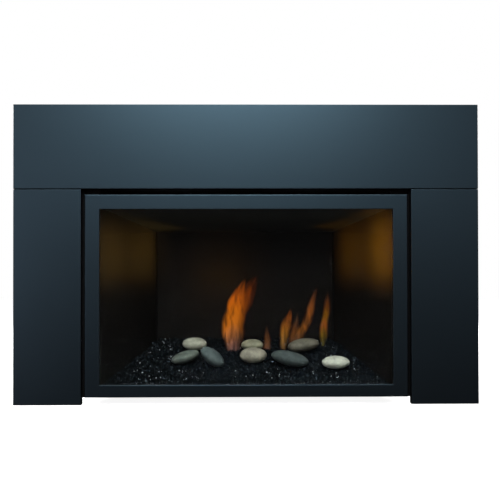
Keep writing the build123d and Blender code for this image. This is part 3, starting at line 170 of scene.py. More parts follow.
@dataclass(frozen=True)
class Shading:
    """A material while it is built: its finish, its node tree and its Principled BSDF."""

    finish: "Finish"
    tree: bpy.types.NodeTree
    shader: bpy.types.Node

    def where(self) -> Socket:
        """Gives each point's place in its piece, in metres."""
        return add(self.tree, "ShaderNodeTexCoord").outputs["Object"]

    def carried(self, name: str, output: str = "Fac") -> Socket:
        """Gives a value that the mesh carries at its points."""
        return add(self.tree, "ShaderNodeAttribute", attribute_name=name).outputs[output]

    def noise(self, noise: Noise, output: str = "Fac") -> Socket:
        """Draws a noise on the piece.

        Args:
            noise: the noise.
            output: which of the node's outputs is wanted.

        Returns:
            That output.
        """
        at = add(self.tree, "ShaderNodeMapping", {"Vector": self.where(), "Scale": noise.scale})
        inputs = {
            "Vector": at.outputs["Vector"],
            "Scale": per_metre(noise.size_mm),
            "Detail": noise.detail,
            "Roughness": noise.roughness,
            "Distortion": noise.distortion,
        }
        return add(self.tree, "ShaderNodeTexNoise", inputs).outputs[output]

    def cells(self, where: Socket, size_mm: float) -> tuple[Socket, Socket, Socket]:
        """Draws a pattern of cells.

        Args:
            where: the place that it follows.
            size_mm: how wide one cell is.

        Returns:
            The distance from the cell's middle, and two random numbers that each cell has.
        """
        inputs = {"Vector": where, "Scale": per_metre(size_mm)}
        cell = add(self.tree, "ShaderNodeTexVoronoi", inputs)
        chance = add(self.tree, "ShaderNodeSeparateColor", {"Color": cell.outputs["Color"]})
        return cell.outputs["Distance"], chance.outputs["Red"], chance.outputs["Green"]

    def remap(self, value: Socket, start: Pair, end: Pair) -> Socket:
        """Maps a value evenly from one range to another, and holds it there.

        Args:
            value: the value.
            start: the range that it is mapped from.
            end: the range that it is mapped to.

        Returns:
            The mapped value.
        """
        names = ("From Min", "From Max", "To Min", "To Max")
        inputs = {"Value": value, **dict(zip(names, (*start, *end)))}
        return add(self.tree, "ShaderNodeMapRange", inputs).outputs["Result"]

    def tones(self, amount: Socket) -> None:
        """Colours the surface between the finish's two tones.

        Args:
            amount: 0 for the low tone, 1 for the high one.
        """
        tones = add(self.tree, "ShaderNodeValToRGB", {"Fac": amount})
        tones.color_ramp.elements[0].color = linear(self.finish.low)
        tones.color_ramp.elements[1].color = linear(self.finish.high)
        self.tree.links.new(tones.outputs["Color"], self.shader.inputs["Base Color"])

    def gloss(self, amount: Socket) -> None:
        """Lets the roughness drift.

        Args:
            amount: 0 for the first of the finish's drifts from its roughness, 1 for the second.
        """
        first, second = (self.finish.roughness + drift for drift in self.finish.gloss_drift)
        rough = self.remap(amount, (0.0, 1.0), (first, second))
        self.tree.links.new(rough, self.shader.inputs["Roughness"])

    def bump(self, height: Socket) -> None:
        """Embosses the surface as deep as the finish says.

        Args:
            height: the pattern, from 0 to 1.
        """
        finish = self.finish
        inputs = {"Height": height, "Strength": finish.strength, "Distance": finish.depth_mm * MM}
        normal = add(self.tree, "ShaderNodeBump", inputs).outputs["Normal"]
        self.tree.links.new(normal, self.shader.inputs["Normal"])


@dataclass(frozen=True)
class Finish:
    """A surface finish, built once as a node material and shared by the pieces that wear it.

    Its tone runs from low to high, two sRGB colours, along its mottle. Its roughness drifts
    along its mottle or its grain, and its grain is embossed. All sizes are the real ones, and
    inputs are the shader's other inputs, each with its value.
    """

    name: str
    low: str
    high: str
    roughness: float
    inputs: tuple[tuple[str, object], ...] = ()
    mottle: Noise = Noise(30.0, 5.0)
    mottle_range: Pair = (0.0, 1.0)
    gloss_drift: Pair = (0.0, 0.0)
    gloss_by_grain: bool = False
    grain: Noise | None = None
    depth_mm: float = 0.0
    strength: float = 0.5

    def material(self) -> bpy.types.Material:
        """Gives the finish's material, and builds it the first time.

        Returns:
            The Blender material.
        """
        made = bpy.data.materials.get(self.name)
        if made:
            return made
        made = bpy.data.materials.new(self.name)
        made.use_nodes = True
        tree = made.node_tree
        tree.nodes.clear()
        inputs = {"Roughness": self.roughness, **dict(self.inputs)}
        shader = add(tree, "ShaderNodeBsdfPrincipled", inputs)
        add(tree, "ShaderNodeOutputMaterial", {"Surface": shader.outputs["BSDF"]})
        self.paint(Shading(self, tree, shader))
        return made

    def paint(self, shading: Shading) -> None:
        """Links the mottle and the grain to the tone, the roughness and the bump.

        Args:
            shading: the material's nodes.
        """
        mottle = shading.noise(self.mottle)
        grain = shading.noise(self.grain) if self.grain else mottle
        shading.tones(shading.remap(mottle, self.mottle_range, (0.0, 1.0)))
        if any(self.gloss_drift):
            shading.gloss(grain if self.gloss_by_grain else mottle)
        if self.grain:
            shading.bump(grain)


@dataclass(frozen=True)
class PowderCoat(Finish):
    """Polyester powder baked on folded steel: a satin near-black with a fine orange peel.

    The peel softens every reflection, so a lamp becomes a broad bluish bloom on the panels.
    """

    inputs: tuple = (("Specular IOR Level", 0.75), ("Specular Tint", linear("#b0e3ff")))
    mottle: Noise = Noise(260.0, 3.0)
    gloss_drift: Pair = (-0.02, 0.02)
    grain: Noise = Noise(1.4, 2.0)
    depth_mm: float = 0.02


@dataclass(frozen=True)
class StovePaint(Finish):
    """Heat-proof silicone spray paint: matt black with a dry, slightly sandy film."""

    inputs: tuple = (("Specular IOR Level", 0.12),)
    mottle: Noise = Noise(90.0, 5.0, roughness=0.65)
    grain: Noise = Noise(0.9, 4.0)
    depth_mm: float = 0.05
    strength: float = 0.6


@dataclass(frozen=True)
class Porcelain(Finish):
    """Black porcelain enamel fired on steel, wavy as a fired sheet, under a faint soot film."""

    mottle: Noise = Noise(45.0, 6.0, roughness=0.6)
    gloss_drift: Pair = (-0.05, 0.07)
    grain: Noise = Noise(70.0, 1.0)
    depth_mm: float = 0.5
    strength: float = 0.4


@dataclass(frozen=True)
class CeramicGlass(Finish):
    """Clear glass-ceramic pane: colourless with a trace of grey, rolled flat."""

    inputs: tuple = (("Transmission Weight", 1.0), ("IOR", 1.5))
    mottle: Noise = Noise(40.0, 0.0)


@dataclass(frozen=True)
class BareMetal(Finish):
    """A bare or plated metal: a slow stain of tone over a fine grain left by how it was made."""

    inputs: tuple = (("Metallic", 1.0),)
    gloss_drift: Pair = (-0.08, 0.08)
    gloss_by_grain: bool = True
    grain: Noise = Noise(0.6, 3.0)
    depth_mm: float = 0.03


@dataclass(frozen=True)
class Moulded(Finish):
    """Moulded ABS or a resin coat: even colour with the mould's fine spark-eroded texture."""

    mottle: Noise = Noise(25.0, 4.0)
    grain: Noise = Noise(0.7, 2.0)
    depth_mm: float = 0.04
    strength: float = 0.6


@dataclass(frozen=True)
class Stone(Finish):
    """A river pebble cast in refractory ceramic: chalky, mottled, with fine pits."""

    inputs: tuple = (("Specular IOR Level", 0.35),)
    mottle: Noise = Noise(14.0, 8.0, roughness=0.62)
    mottle_range: Pair = (0.3, 0.7)
    grain: Noise = Noise(2.2, 3.0)
    depth_mm: float = 0.25


@dataclass(frozen=True)
class Paper(Finish):
    """Seamless white background paper: matt, even, and lit so that it stays near white."""

    inputs: tuple = (("Emission Color", linear("#ffffff")), ("Emission Strength", 0.9))
    mottle: Noise = Noise(3.0, 2.0)


@dataclass(frozen=True)
class Galvanised(Finish):
    """Hot-dip galvanised sheet: frozen zinc crystals, each with its own grey and gloss.

    A noise bends the crystals' straight edges a little.
    """

    inputs: tuple = (("Metallic", 1.0),)
    gloss_drift: Pair = (-0.06, 0.06)
    spangle_mm: float = 12.0
    bend: Noise = Noise(20.0, 3.0)
    bend_share: float = 0.012

    def paint(self, shading: Shading) -> None:
        """Links the crystals' tones and gloss.

        Args:
            shading: the material's nodes.
        """
        inputs = {0: self.bend_share, 4: shading.where(), 5: shading.noise(self.bend, "Color")}
        bent = add(shading.tree, "ShaderNodeMix", inputs, data_type="VECTOR").outputs[1]
        _, tone, gloss = shading.cells(bent, self.spangle_mm)
        shading.tones(tone)
        shading.gloss(gloss)


@dataclass(frozen=True)
class Braid(Finish):
    """Knitted glass-fibre rope: pale grey strands that cross, with painted shade between them."""

    grain: Noise = Noise(0.5, 2.0)
    depth_mm: float = 0.15
    strength: float = 0.7

    def paint(self, shading: Shading) -> None:
        """Paints shade into the rope's valleys, lower means darker, and embosses its fibres."""
        shading.tones(shading.carried("strand_shade"))
        shading.bump(shading.noise(self.grain))


@dataclass(frozen=True)
class CrushedGlass(Finish):
    """Broken black tempered glass: dark shell-like faces, with painted glints among them.

    A flash of light on a facet is smaller than a pixel, so it is painted as a pale chip of
    its own: a painted highlight.
    """

    inputs: tuple = (("Specular IOR Level", 0.24), ("Specular Tint", linear("#b4d2ee")))
    gloss_drift: Pair = (0.0, 0.15)

    def paint(self, shading: Shading) -> None:
        """Links each chip's tone, its own near-black or a painted glint's pale, and its gloss."""
        shading.tones(shading.carried("tone"))
        shading.gloss(shading.carried("tone"))


@dataclass(frozen=True)
class GlassGrit(Finish):
    """The fill under the top chips: black glass grit, all small dark facets."""

    grit_mm: float = 5.0
    depth_mm: float = 2.0
    strength: float = 1.0

    def paint(self, shading: Shading) -> None:
        """Links the grit's facets as tone and bump.

        Args:
            shading: the material's nodes.
        """
        height, tone, _ = shading.cells(shading.where(), self.grit_mm)
        shading.tones(tone)
        shading.bump(height)


@dataclass(frozen=True)
class Flame(Finish):
    """Burning natural gas: only light, brightest in the body and clear at the edges."""

    inputs: tuple = (("Specular IOR Level", 0.0), ("Emission Strength", 0.60))
    streaks: Noise = Noise(10.0, 0.8, distortion=0.5, scale=(1.0, 1.0, 0.24))
    streak_range: Pair = (0.34, 0.62)
    streak_veil: Pair = (0.3, 1.1)

    def paint(self, shading: Shading) -> None:
        """Links the tongue's own colour and its veil, which rising streaks break.

        Args:
            shading: the material's nodes.
        """
        tree, shader = shading.tree, shading.shader
        streaks = shading.remap(shading.noise(self.streaks), self.streak_range, self.streak_veil)
        inputs = {0: shading.carried("veil"), 1: streaks}
        veil = add(tree, "ShaderNodeMath", inputs, operation="MULTIPLY").outputs["Value"]
        tree.links.new(shading.carried("glow", "Color"), shader.inputs["Emission Color"])
        tree.links.new(veil, shader.inputs["Alpha"])
        shader.inputs["Base Color"].default_value = linear(self.low)


class Wear(Enum):
    """The finish that each material slot of the record gets."""

    charcoal_powder_coat = PowderCoat("satin_powder_coat", "#0b0a0b", "#0f0e0f", 0.34)
    black_stove_paint = StovePaint("matt_stove_paint", "#070708", "#0f0f10", 0.8)
    galvanised_sheet = Galvanised("galvanised_steel", "#989da1", "#b7bcbf", 0.44)
    black_porcelain = Porcelain("black_porcelain_enamel", "#100f0d", "#161513", 0.14)
    ceramic_glass = CeramicGlass("clear_glass_ceramic", "#f4f6f6", "#fbfcfc", 0.0)
    # The low tone is painted shade in the valleys between strands; the high tone is the fibres' own
    # grey.
    rope_gasket = Braid("glass_fibre_rope", "#35342f", "#a9a59a", 0.9)
    zinc_plate = BareMetal("bright_zinc_plate", "#a9aeb0", "#c9cdcc", 0.3, grain=Noise(1.0, 3.0))
    magnet_black = Moulded("epoxy_coated_ferrite", "#141416", "#1e1e20", 0.45)
    aluminised_steel = BareMetal(
        "aluminised_steel", "#8b8d8c", "#a9aba9", 0.42,
        grain=Noise(0.6, 3.0, scale=(1.0, 1.0, 0.08)),
    )  # fmt: skip
    cast_aluminium = BareMetal(
        "cast_aluminium", "#9a9994", "#b7b6b1", 0.5, grain=Noise(1.2, 3.0), depth_mm=0.15
    )
    brass = BareMetal(
        "turned_brass", "#a9843a", "#d0ac5e", 0.28, grain=Noise(0.6, 3.0, scale=(0.15, 1.0, 1.0))
    )
    black_plastic = Moulded("moulded_black_abs", "#131416", "#1a1b1d", 0.5)
    crushed_glass = GlassGrit("black_glass_grit", "#020303", "#0a0c0e", 0.25)
    pale_stone = Stone("pale_river_stone", "#8f9288", "#c9cdc2", 0.75)
    grey_stone = Stone("grey_river_stone", "#3f4c50", "#66777a", 0.75)
    white_ceramic = Moulded("glazed_alumina", "#d9d5ca", "#ece8df", 0.22)


@dataclass
class Surface:
    """A mesh worked out as arrays: its points in metres, its faces and its point values."""

    name: str
    points: np.ndarray
    faces: np.ndarray
    values: dict[str, np.ndarray] = field(default_factory=dict)
    smooth: bool = True

    def place(self, finish: Finish) -> bpy.types.Object:
        """Makes the Blender object, with its values as point attributes.

        Args:
            finish: the finish that the piece wears.

        Returns:
            The new object, at the origin, with its place in its mesh.
        """
        mesh = bpy.data.meshes.new(self.name)
        mesh.from_pydata(self.points.tolist(), [], self.faces.tolist())
        mesh.polygons.foreach_set("use_smooth", np.full(len(self.faces), self.smooth))
        for name, value in self.values.items():
            kind = "FLOAT" if value.ndim == 1 else "FLOAT_COLOR"
            layer = mesh.attributes.new(name, kind, "POINT")
            layer.data.foreach_set("value" if value.ndim == 1 else "color", value.ravel())
        mesh.materials.append(finish.material())
        mesh.update()
        piece = bpy.data.objects.new(self.name, mesh)
        bpy.context.scene.collection.objects.link(piece)
        return piece


def grid_faces(rows: int, columns: int, wrap_rows: bool, wrap_columns: bool) -> np.ndarray:
    """Gives the quads of a grid of points numbered row by row.

    Quad (i, j) joins points (i, j), (i, j + 1), (i + 1, j + 1) and (i + 1, j), and the last
    row or column joins the first where it wraps.

    Args:
        rows: number of rows.
        columns: number of columns.
        wrap_rows: whether the last row joins the first.
        wrap_columns: whether the last column joins the first.

    Returns:
        One row of four point numbers for each quad.
    """
    i, j = np.meshgrid(
        np.arange(rows if wrap_rows else rows - 1),
        np.arange(columns if wrap_columns else columns - 1),
        indexing="ij",
    )
    near, far = i * columns, ((i + 1) % rows) * columns
    left, right = j, (j + 1) % columns
    return np.stack((near + left, near + right, far + right, far + left), -1).reshape(-1, 4)


def icosahedron() -> tuple[np.ndarray, np.ndarray]:
    """Gives the icosahedron whose corners lie on the unit sphere.

    The corners are (0, a, b g) for a and b of -1 and 1, with g the golden ratio, and these with
    their three places moved round. A facet joins three corners that are one edge apart.

    Returns:
        Twelve corners, and twenty rows of three corner numbers that turn outward.
    """
    golden = (1 + 5**0.5) / 2
    four = np.array([(0, a, b * golden) for a in (-1, 1) for b in (-1, 1)])
    corners = np.vstack([np.roll(four, places, axis=1) for places in (0, 2, 1)])
    corners /= np.linalg.norm(corners[0])
    apart = np.linalg.norm(corners[:, None] - corners[None], axis=-1)
    joined = np.abs(apart - np.sort(apart[0])[1]) < 1e-6
    i, j, k = np.nonzero(joined[:, :, None] & joined[:, None, :] & joined[None])
    once = (i < j) & (j < k)
    facets = np.stack((i[once], j[once], k[once]), -1)
    a, b, c = (corners[facets[:, n]] for n in range(3))
    inward = np.einsum("ij,ij->i", np.cross(b - a, c - a), a) < 0
    facets[inward] = facets[inward][:, ::-1]
    return corners, facets


@dataclass
class Bed:
    """The sloping bed of crushed glass, in millimetres from the middle, the face and the hearth.

    A band of painted glints is (middle, reach), and a layer of chips is (name, seed, lift).
    """

    front_y: float
    edge_high: float = 44.0
    slope_start: float = 40.0
    slope: float = 88.0 / 290.0
    half_at_face: float = 349.0
    face_depth: float = 28.5
    narrowing: float = 0.38474
    front: float = 33.0
    back: float = 325.0
    wall_gap: float = 7.0
    pilot: Pair = (-131.0, 296.4)
    pilot_clear: Pair = (24.0, 14.0)
    spacing: float = 5.6
    spacing_across: float = 1.35
    stray: Pair = (0.5, 0.7)
    uneven: float = 1.2
    chip_sizes: Pair = (5.5, 12.0)
    corner_reach: Pair = (0.62, 1.12)
    flattest: Triple = (0.8, 0.7, 0.45)
    fullest: Triple = (1.2, 1.0, 0.8)
    chip_tone: float = 0.012
    splinter_share: float = 0.40
    splinter_tones: Pair = (0.2, 1.0)
    splinter_bias: float = 1.3
    lone_chance: float = 0.008
    band_chance: float = 0.10
    side_band: Pair = (0.82, 42.0)
    side_band_grows: Pair = (60.0, 90.0)
    side_band_least: float = 0.35
    front_band: Pair = (85.0, 45.0)
    front_band_share: float = 0.7
    clump_sizes: Triple = (17.0, 23.0, 15.0)
    clump_bend: float = 2.1
    clump_edge: float = 0.1
    clump_factors: Pair = (0.3, 1.4)
    layers: tuple = (("chips_lower", 11, -0.5), ("chips_upper", 12, 1.8))
    # The high tone is the pale colour of the painted glints.
    glass: CrushedGlass = CrushedGlass("black_crushed_glass", "#010406", "#cfd8da", 0.2)
    body: str = "insert"

    def height(self, depth: np.ndarray) -> np.ndarray:
        """Gives the bed's height at a depth: level at the front, then a straight slope."""
        return self.edge_high + np.maximum(depth - self.slope_start, 0.0) * self.slope

    def half_width(self, depth: np.ndarray) -> np.ndarray:
        """Gives half the firebox's width at a depth, less the gap to the liners."""
        return self.half_at_face - self.narrowing * (depth - self.face_depth) - self.wall_gap

    def scatter(self, random: np.random.Generator) -> tuple[np.ndarray, np.ndarray]:
        """Strews the chips over a grid, each up to a share of the spacing off its point.

        Those beyond the sides or over the pilot are left out.

        Args:
            random: the layer's random numbers.

        Returns:
            The chips' places across and their depths.
        """
        depth, across = np.meshgrid(
            np.arange(self.front, self.back, self.spacing),
            np.arange(-self.half_at_face, self.half_at_face, self.spacing * self.spacing_across),
            indexing="ij",
        )
        off_depth, off_across = self.stray
        depth = depth + random.uniform(-off_depth, off_depth, depth.shape) * self.spacing
        across = across + random.uniform(-off_across, off_across, across.shape) * self.spacing
        depth, across = depth.ravel(), across.ravel()
        beside_pilot = np.abs(across - self.pilot[0]) > self.pilot_clear[0]
        off_pilot = beside_pilot | (np.abs(depth - self.pilot[1]) > self.pilot_clear[1])
        kept = (np.abs(across) < self.half_width(depth)) & off_pilot
        return across[kept], np.clip(depth[kept], self.front, self.back)

    def splinter_chance(self, across: np.ndarray, depth: np.ndarray) -> np.ndarray:
        """Gives each chip's chance to be a painted glint, a small pale chip for a flash of light.

        A band is exp(-u u), with u the distance from its middle over its reach. The side bands'
        middle is a share of the half width, and they grow with depth. The chance is the lone one
        plus the stronger band's, times 0.3, or times 1.7 in a clump, which is where
        sin(x / 17 + 2.1 sin(y / 23)) sin(y / 15) is over 0.1 for x across and y deep.

        Args:
            across: the chips' places across.
            depth: their depths.

        Returns:
            One chance for each chip.
        """
        side_middle, side_reach = self.side_band
        off_middle = np.abs(across) - side_middle * self.half_width(depth)
        side = np.exp(-((off_middle / side_reach) ** 2))
        grown = ease((depth - self.side_band_grows[0]) / self.side_band_grows[1])
        side *= self.side_band_least + (1 - self.side_band_least) * grown
        front = np.exp(-(((depth - self.front_band[0]) / self.front_band[1]) ** 2))
        band = self.band_chance * np.maximum(side, self.front_band_share * front)
        wide, bend, deep = self.clump_sizes
        wave = np.sin(across / wide + self.clump_bend * np.sin(depth / bend)) * np.sin(depth / deep)
        outside, gain = self.clump_factors
        return (self.lone_chance + band) * (outside + gain * (wave > self.clump_edge))

    def chips(self, name: str, seed: int, lift: float) -> Surface:
        """Works out a layer of chips, each a twelve-cornered lump with twenty flat facets.

        A corner is the icosahedron's corner times a random reach, times the chip's three random
        half sizes, turned by a random rotation and put on the bed.

        Args:
            name: the piece's name.
            seed: the seed of its random numbers.
            lift: how far the chips' middles stand above the bed, in millimetres.

        Returns:
            The layer, with a tone for each chip, pale where the chip is a painted glint.
        """
        random = np.random.default_rng(seed)
        across, depth = self.scatter(random)
        corners, facets = icosahedron()
        count, each = len(across), len(corners)
        reach = random.uniform(*self.corner_reach, (count, each, 1))
        # Some chips become small pale chips: painted glints that stand in for flashes of light.
        glint_chip = random.uniform(0, 1, count) < self.splinter_chance(across, depth)
        tone = random.uniform(0, self.chip_tone, count)
        flashes = random.uniform(*self.splinter_tones, np.count_nonzero(glint_chip))
        tone[glint_chip] = flashes**self.splinter_bias
        size = random.uniform(*self.chip_sizes, count) / 2
        size[glint_chip] *= self.splinter_share
        shape = random.uniform(self.flattest, self.fullest, (count, 3))[:, None, :]
        turn = np.linalg.qr(random.normal(size=(count, 3, 3)))[0]
        turn *= np.sign(np.linalg.det(turn))[:, None, None]
        lumps = np.einsum("nij,nkj->nki", turn, corners * reach * size[:, None, None] * shape)
        height = self.height(depth) + lift + random.uniform(-self.uneven, self.uneven, count)
        middle = np.stack((across, depth + self.front_y, height), -1)
        points = (lumps + middle[:, None, :]).reshape(-1, 3) * MM
        faces = (facets[None] + each * np.arange(count)[:, None, None]).reshape(-1, 3)
        return Surface(name, points, faces, {"tone": np.repeat(tone, each)}, smooth=False)

    def build(self) -> list[bpy.types.Object]:
        """Lays two layers of chips over the fill.

        Returns:
            The two pieces.
        """
        pieces = []
        for name, seed, lift in self.layers:
            piece = self.chips(name, seed, lift).place(self.glass)
            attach(piece, self.body)
            pieces.append(piece)
        return pieces


@dataclass
class Pebble:
    """One water-worn pebble, in millimetres: where its middle is, its half sizes and its tip."""

    name: str
    across: float
    depth: float
    height: float
    half: Triple
    tip: float
    low: str
    high: str
    seed: int
    rows: int = 49
    columns: int = 72
    fullness: float = 0.985
    waves: int = 4
    wave_sizes: Pair = (0.004, 0.012)
    wave_rates: Pair = (1.6, 2.8)

    def surface(self, front_y: float) -> Surface:
        """Works out the pebble over its longitude and latitude.

        The point at longitude p and latitude q is (cos q cos p, cos q sin p, sin q), times the
        half sizes, times 0.985 plus four slow waves of 0.4 to 1.2 % in random directions, then
        tipped about the y axis.

        Args:
            front_y: where the surround's face is, in millimetres.

        Returns:
            The closed pebble.
        """
        random = np.random.default_rng(self.seed)
        latitude, longitude = np.meshgrid(
            np.linspace(-math.pi / 2, math.pi / 2, self.rows),
            np.linspace(0, 2 * math.pi, self.columns, endpoint=False),
            indexing="ij",
        )
        x, y = np.cos(latitude) * np.cos(longitude), np.cos(latitude) * np.sin(longitude)
        unit = np.stack((x, y, np.sin(latitude)), -1)
        reach = np.full(latitude.shape, self.fullness)
        for _ in range(self.waves):
            direction = random.normal(size=3)
            direction *= random.uniform(*self.wave_rates) / np.linalg.norm(direction)
            reach += random.uniform(*self.wave_sizes) * np.sin(
                unit @ direction + random.uniform(0, 2 * math.pi)
            )
        local = unit * reach[..., None] * np.array(self.half)
        tip = math.radians(self.tip)
        x = local[..., 0] * math.cos(tip) - local[..., 2] * math.sin(tip)
        z = local[..., 0] * math.sin(tip) + local[..., 2] * math.cos(tip)
        y = local[..., 1] + self.depth + front_y
        points = np.stack((x + self.across, y, z + self.height), -1)
        poles = points[[0, -1], 0]
        ring = points[1:-1].reshape(-1, 3)
        faces = grid_faces(self.rows - 2, self.columns, False, True)
        here = np.arange(self.columns)
        after = (here + 1) % self.columns
        last = (self.rows - 3) * self.columns
        south_pole, north_pole = (np.full(self.columns, len(ring) + n) for n in (0, 1))
        south = np.stack((south_pole, after, here), -1)
        north = np.stack((north_pole, last + here, last + after), -1)
        closed = [*faces.tolist(), *south.tolist(), *north.tolist()]
        all_faces = np.empty(len(closed), object)
        all_faces[:] = closed
        return Surface(f"pebble_{self.name}", np.vstack((ring, poles)) * MM, all_faces)


@dataclass
class Pebbles:
    """The eight pebbles that lie on the crushed glass."""

    front_y: float
    body: str = "insert"
    roughness: float = 0.72
    pale: tuple[Pebble, ...] = (
        Pebble("back_left", -131.2, 237.5, 125.1, (31.8, 25.4, 17.0), 0, "#7c7f70", "#abae9b", 1),
        Pebble("back_middle", 17.3, 228.8, 122.2, (29.3, 24.1, 15.4), 0, "#6b6d5a", "#94947a", 2),
        Pebble("front_middle", 18.1, 150.7, 102.8, (34.7, 27.1, 19.7), 0, "#6b695d", "#989683", 3),
        Pebble("front_right", 220.5, 114.0, 88.4, (34.5, 25.9, 16.3), 0, "#9aa093", "#c7cdba", 4),
    )  # fmt: skip
    grey: tuple[Pebble, ...] = (
        Pebble("left", -151.3, 146.6, 99.6, (36.3, 26.1, 14.9), 17, "#444d4a", "#667165", 5),
        Pebble("left_tipped", -83.2, 125.2, 100.8, (34.8, 26.1, 18.6), -38, "#384648", "#586562", 6),
        Pebble("middle_right", 109.2, 125.0, 96.6, (48.4, 30.0, 18.5), -13, "#2c3737", "#495451", 7),
        Pebble("back_right", 147.9, 220.3, 122.3, (41.6, 28.3, 17.0), 8, "#46463a", "#6d6b5d", 8),
    )  # fmt: skip

    def build(self) -> list[bpy.types.Object]:
        """Makes the pebbles in place of the two plain nodes.

        Returns:
            The eight pieces.
        """
        pieces = []
        for node, slot, stones in (
            ("pale_pebbles", "pale_stone", self.pale),
            ("grey_pebbles", "grey_stone", self.grey),
        ):
            for stone in stones:
                finish = Stone(f"pebble_{stone.name}_stone", stone.low, stone.high, self.roughness)
                piece = stone.surface(self.front_y).place(finish)
                piece.visible_glossy = False
                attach(piece, self.body)
                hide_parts(node)
                pieces.append(piece)
        return pieces


@dataclass
class Tongue:
    """One tongue of flame: its spine as (across, height, half width), from its foot to its tip.

    Its colours run from foot to tip too. A sheet is (angle, share of the light), and a wave is
    (size, rate).
    """

    name: str
    depth: float
    bright_side: float
    strength: float
    foot: float
    spine: tuple[Triple, ...]
    colours: tuple[str, ...]
    rows: int = 90
    columns: int = 17
    spread: float = 1.3
    least_half: float = 0.3
    bow: float = 0.3
    sheets: tuple[Pair, ...] = ((0.0, 1.0), (62.0, 0.4), (-62.0, 0.4))
    wobble: tuple[Pair, ...] = ((0.05, 15.0), (0.03, 31.0))
    ragged_level: float = 1.1
    ragged: tuple[Pair, ...] = ((0.07, 8.0), (0.04, 17.0))
    sheet_phase: float = 2.0
    edge_power: float = 1.4
    side_pull: float = 2.2
    rise: float = 0.42
    fall: float = 0.56
    tip: float = 0.1
    edge_heat: float = 0.10

    def veil(self, t: np.ndarray, v: np.ndarray, number: int) -> np.ndarray:
        """Works out how much of a sheet shows.

        It is (1 - v v) ** 1.4, times exp(2.2 b v) with b the bright side, times a smooth rise
        over the lower 0.42, a smooth end over the last 0.1 and a smooth fall from 0.56 on,
        which two waves across make ragged.

        Args:
            t: places from foot to tip, from 0 to 1.
            v: places across, from -1 to 1.
            number: the sheet's number.

        Returns:
            A row for each t, with a share for each v.
        """
        rise = self.foot + (1 - self.foot) * ease(t / self.rise)
        ragged = ripple(self.ragged_level, v, self.depth + self.sheet_phase * number, self.ragged)
        veil = (
            (1 - v[None] ** 2) ** self.edge_power
            * np.exp(self.side_pull * self.bright_side * v[None])
            * (rise * ease((1 - t) / self.tip))[:, None]
            * (1 - ease((t[:, None] * ragged[None] - self.fall) / self.fall))
            * self.strength
            * self.sheets[number][1]
        )
        return np.clip(veil, 0, 1)

    def surfaces(self, front_y: float) -> list[Surface]:
        """Works out three sheets that cross along the spine.

        The sheet at angle a has the point spine(t) + w v (n cos a + y sin a), where n is the
        spine's normal in the xz plane, v runs from -1 to 1 across and w is 1.3 times the half
        width, which two waves along the spine make uneven. A bow of 0.3 w (1 - v v) curves it.
        The tongue's colours follow each other along t, a little sooner at the edges.

        Args:
            front_y: where the surround's face is, in millimetres.

        Returns:
            The three sheets.
        """
        knots = np.array(self.spine)
        steps = np.linalg.norm(np.diff(knots[:, :2], axis=0), axis=1)
        length = np.concatenate(((0.0,), np.cumsum(steps)))
        t, v = np.linspace(0, 1, self.rows), np.linspace(-1, 1, self.columns)
        run = np.stack([smooth_curve(length, knots[:, k], t * length[-1]) for k in range(3)], -1)
        slope = np.gradient(run[:, :2], axis=0)
        slope /= np.linalg.norm(slope, axis=1, keepdims=True)
        half = np.maximum(run[:, 2], self.least_half) * ripple(1.0, t, self.depth, self.wobble)
        reach = self.spread * half[:, None]
        wide, bow = reach * v[None], self.bow * reach * (1 - v[None] ** 2)
        faces = grid_faces(self.rows, self.columns, False, False)
        stops = np.array([linear(c) for c in self.colours])
        heat = t[:, None] + self.edge_heat * np.abs(v[None]) - self.edge_heat / 2
        at = np.linspace(0, 1, len(stops))
        glow = np.stack([np.interp(heat.ravel(), at, stops[:, k]) for k in range(4)], -1)
        sheets = []
        for number, (turn, _) in enumerate(self.sheets):
            angle = math.radians(turn)
            across = wide * math.cos(angle) - bow * math.sin(angle)
            back = wide * math.sin(angle) + bow * math.cos(angle)
            x = run[:, 0:1] + across * slope[:, 1:2]
            z = run[:, 1:2] - across * slope[:, 0:1]
            points = np.stack((x, self.depth + front_y + back, z), -1).reshape(-1, 3) * MM
            values = {"glow": glow.astype(np.float32), "veil": self.veil(t, v, number).ravel()}
            sheets.append(Surface(f"{self.name}_{number}", points, faces, values))
        return sheets


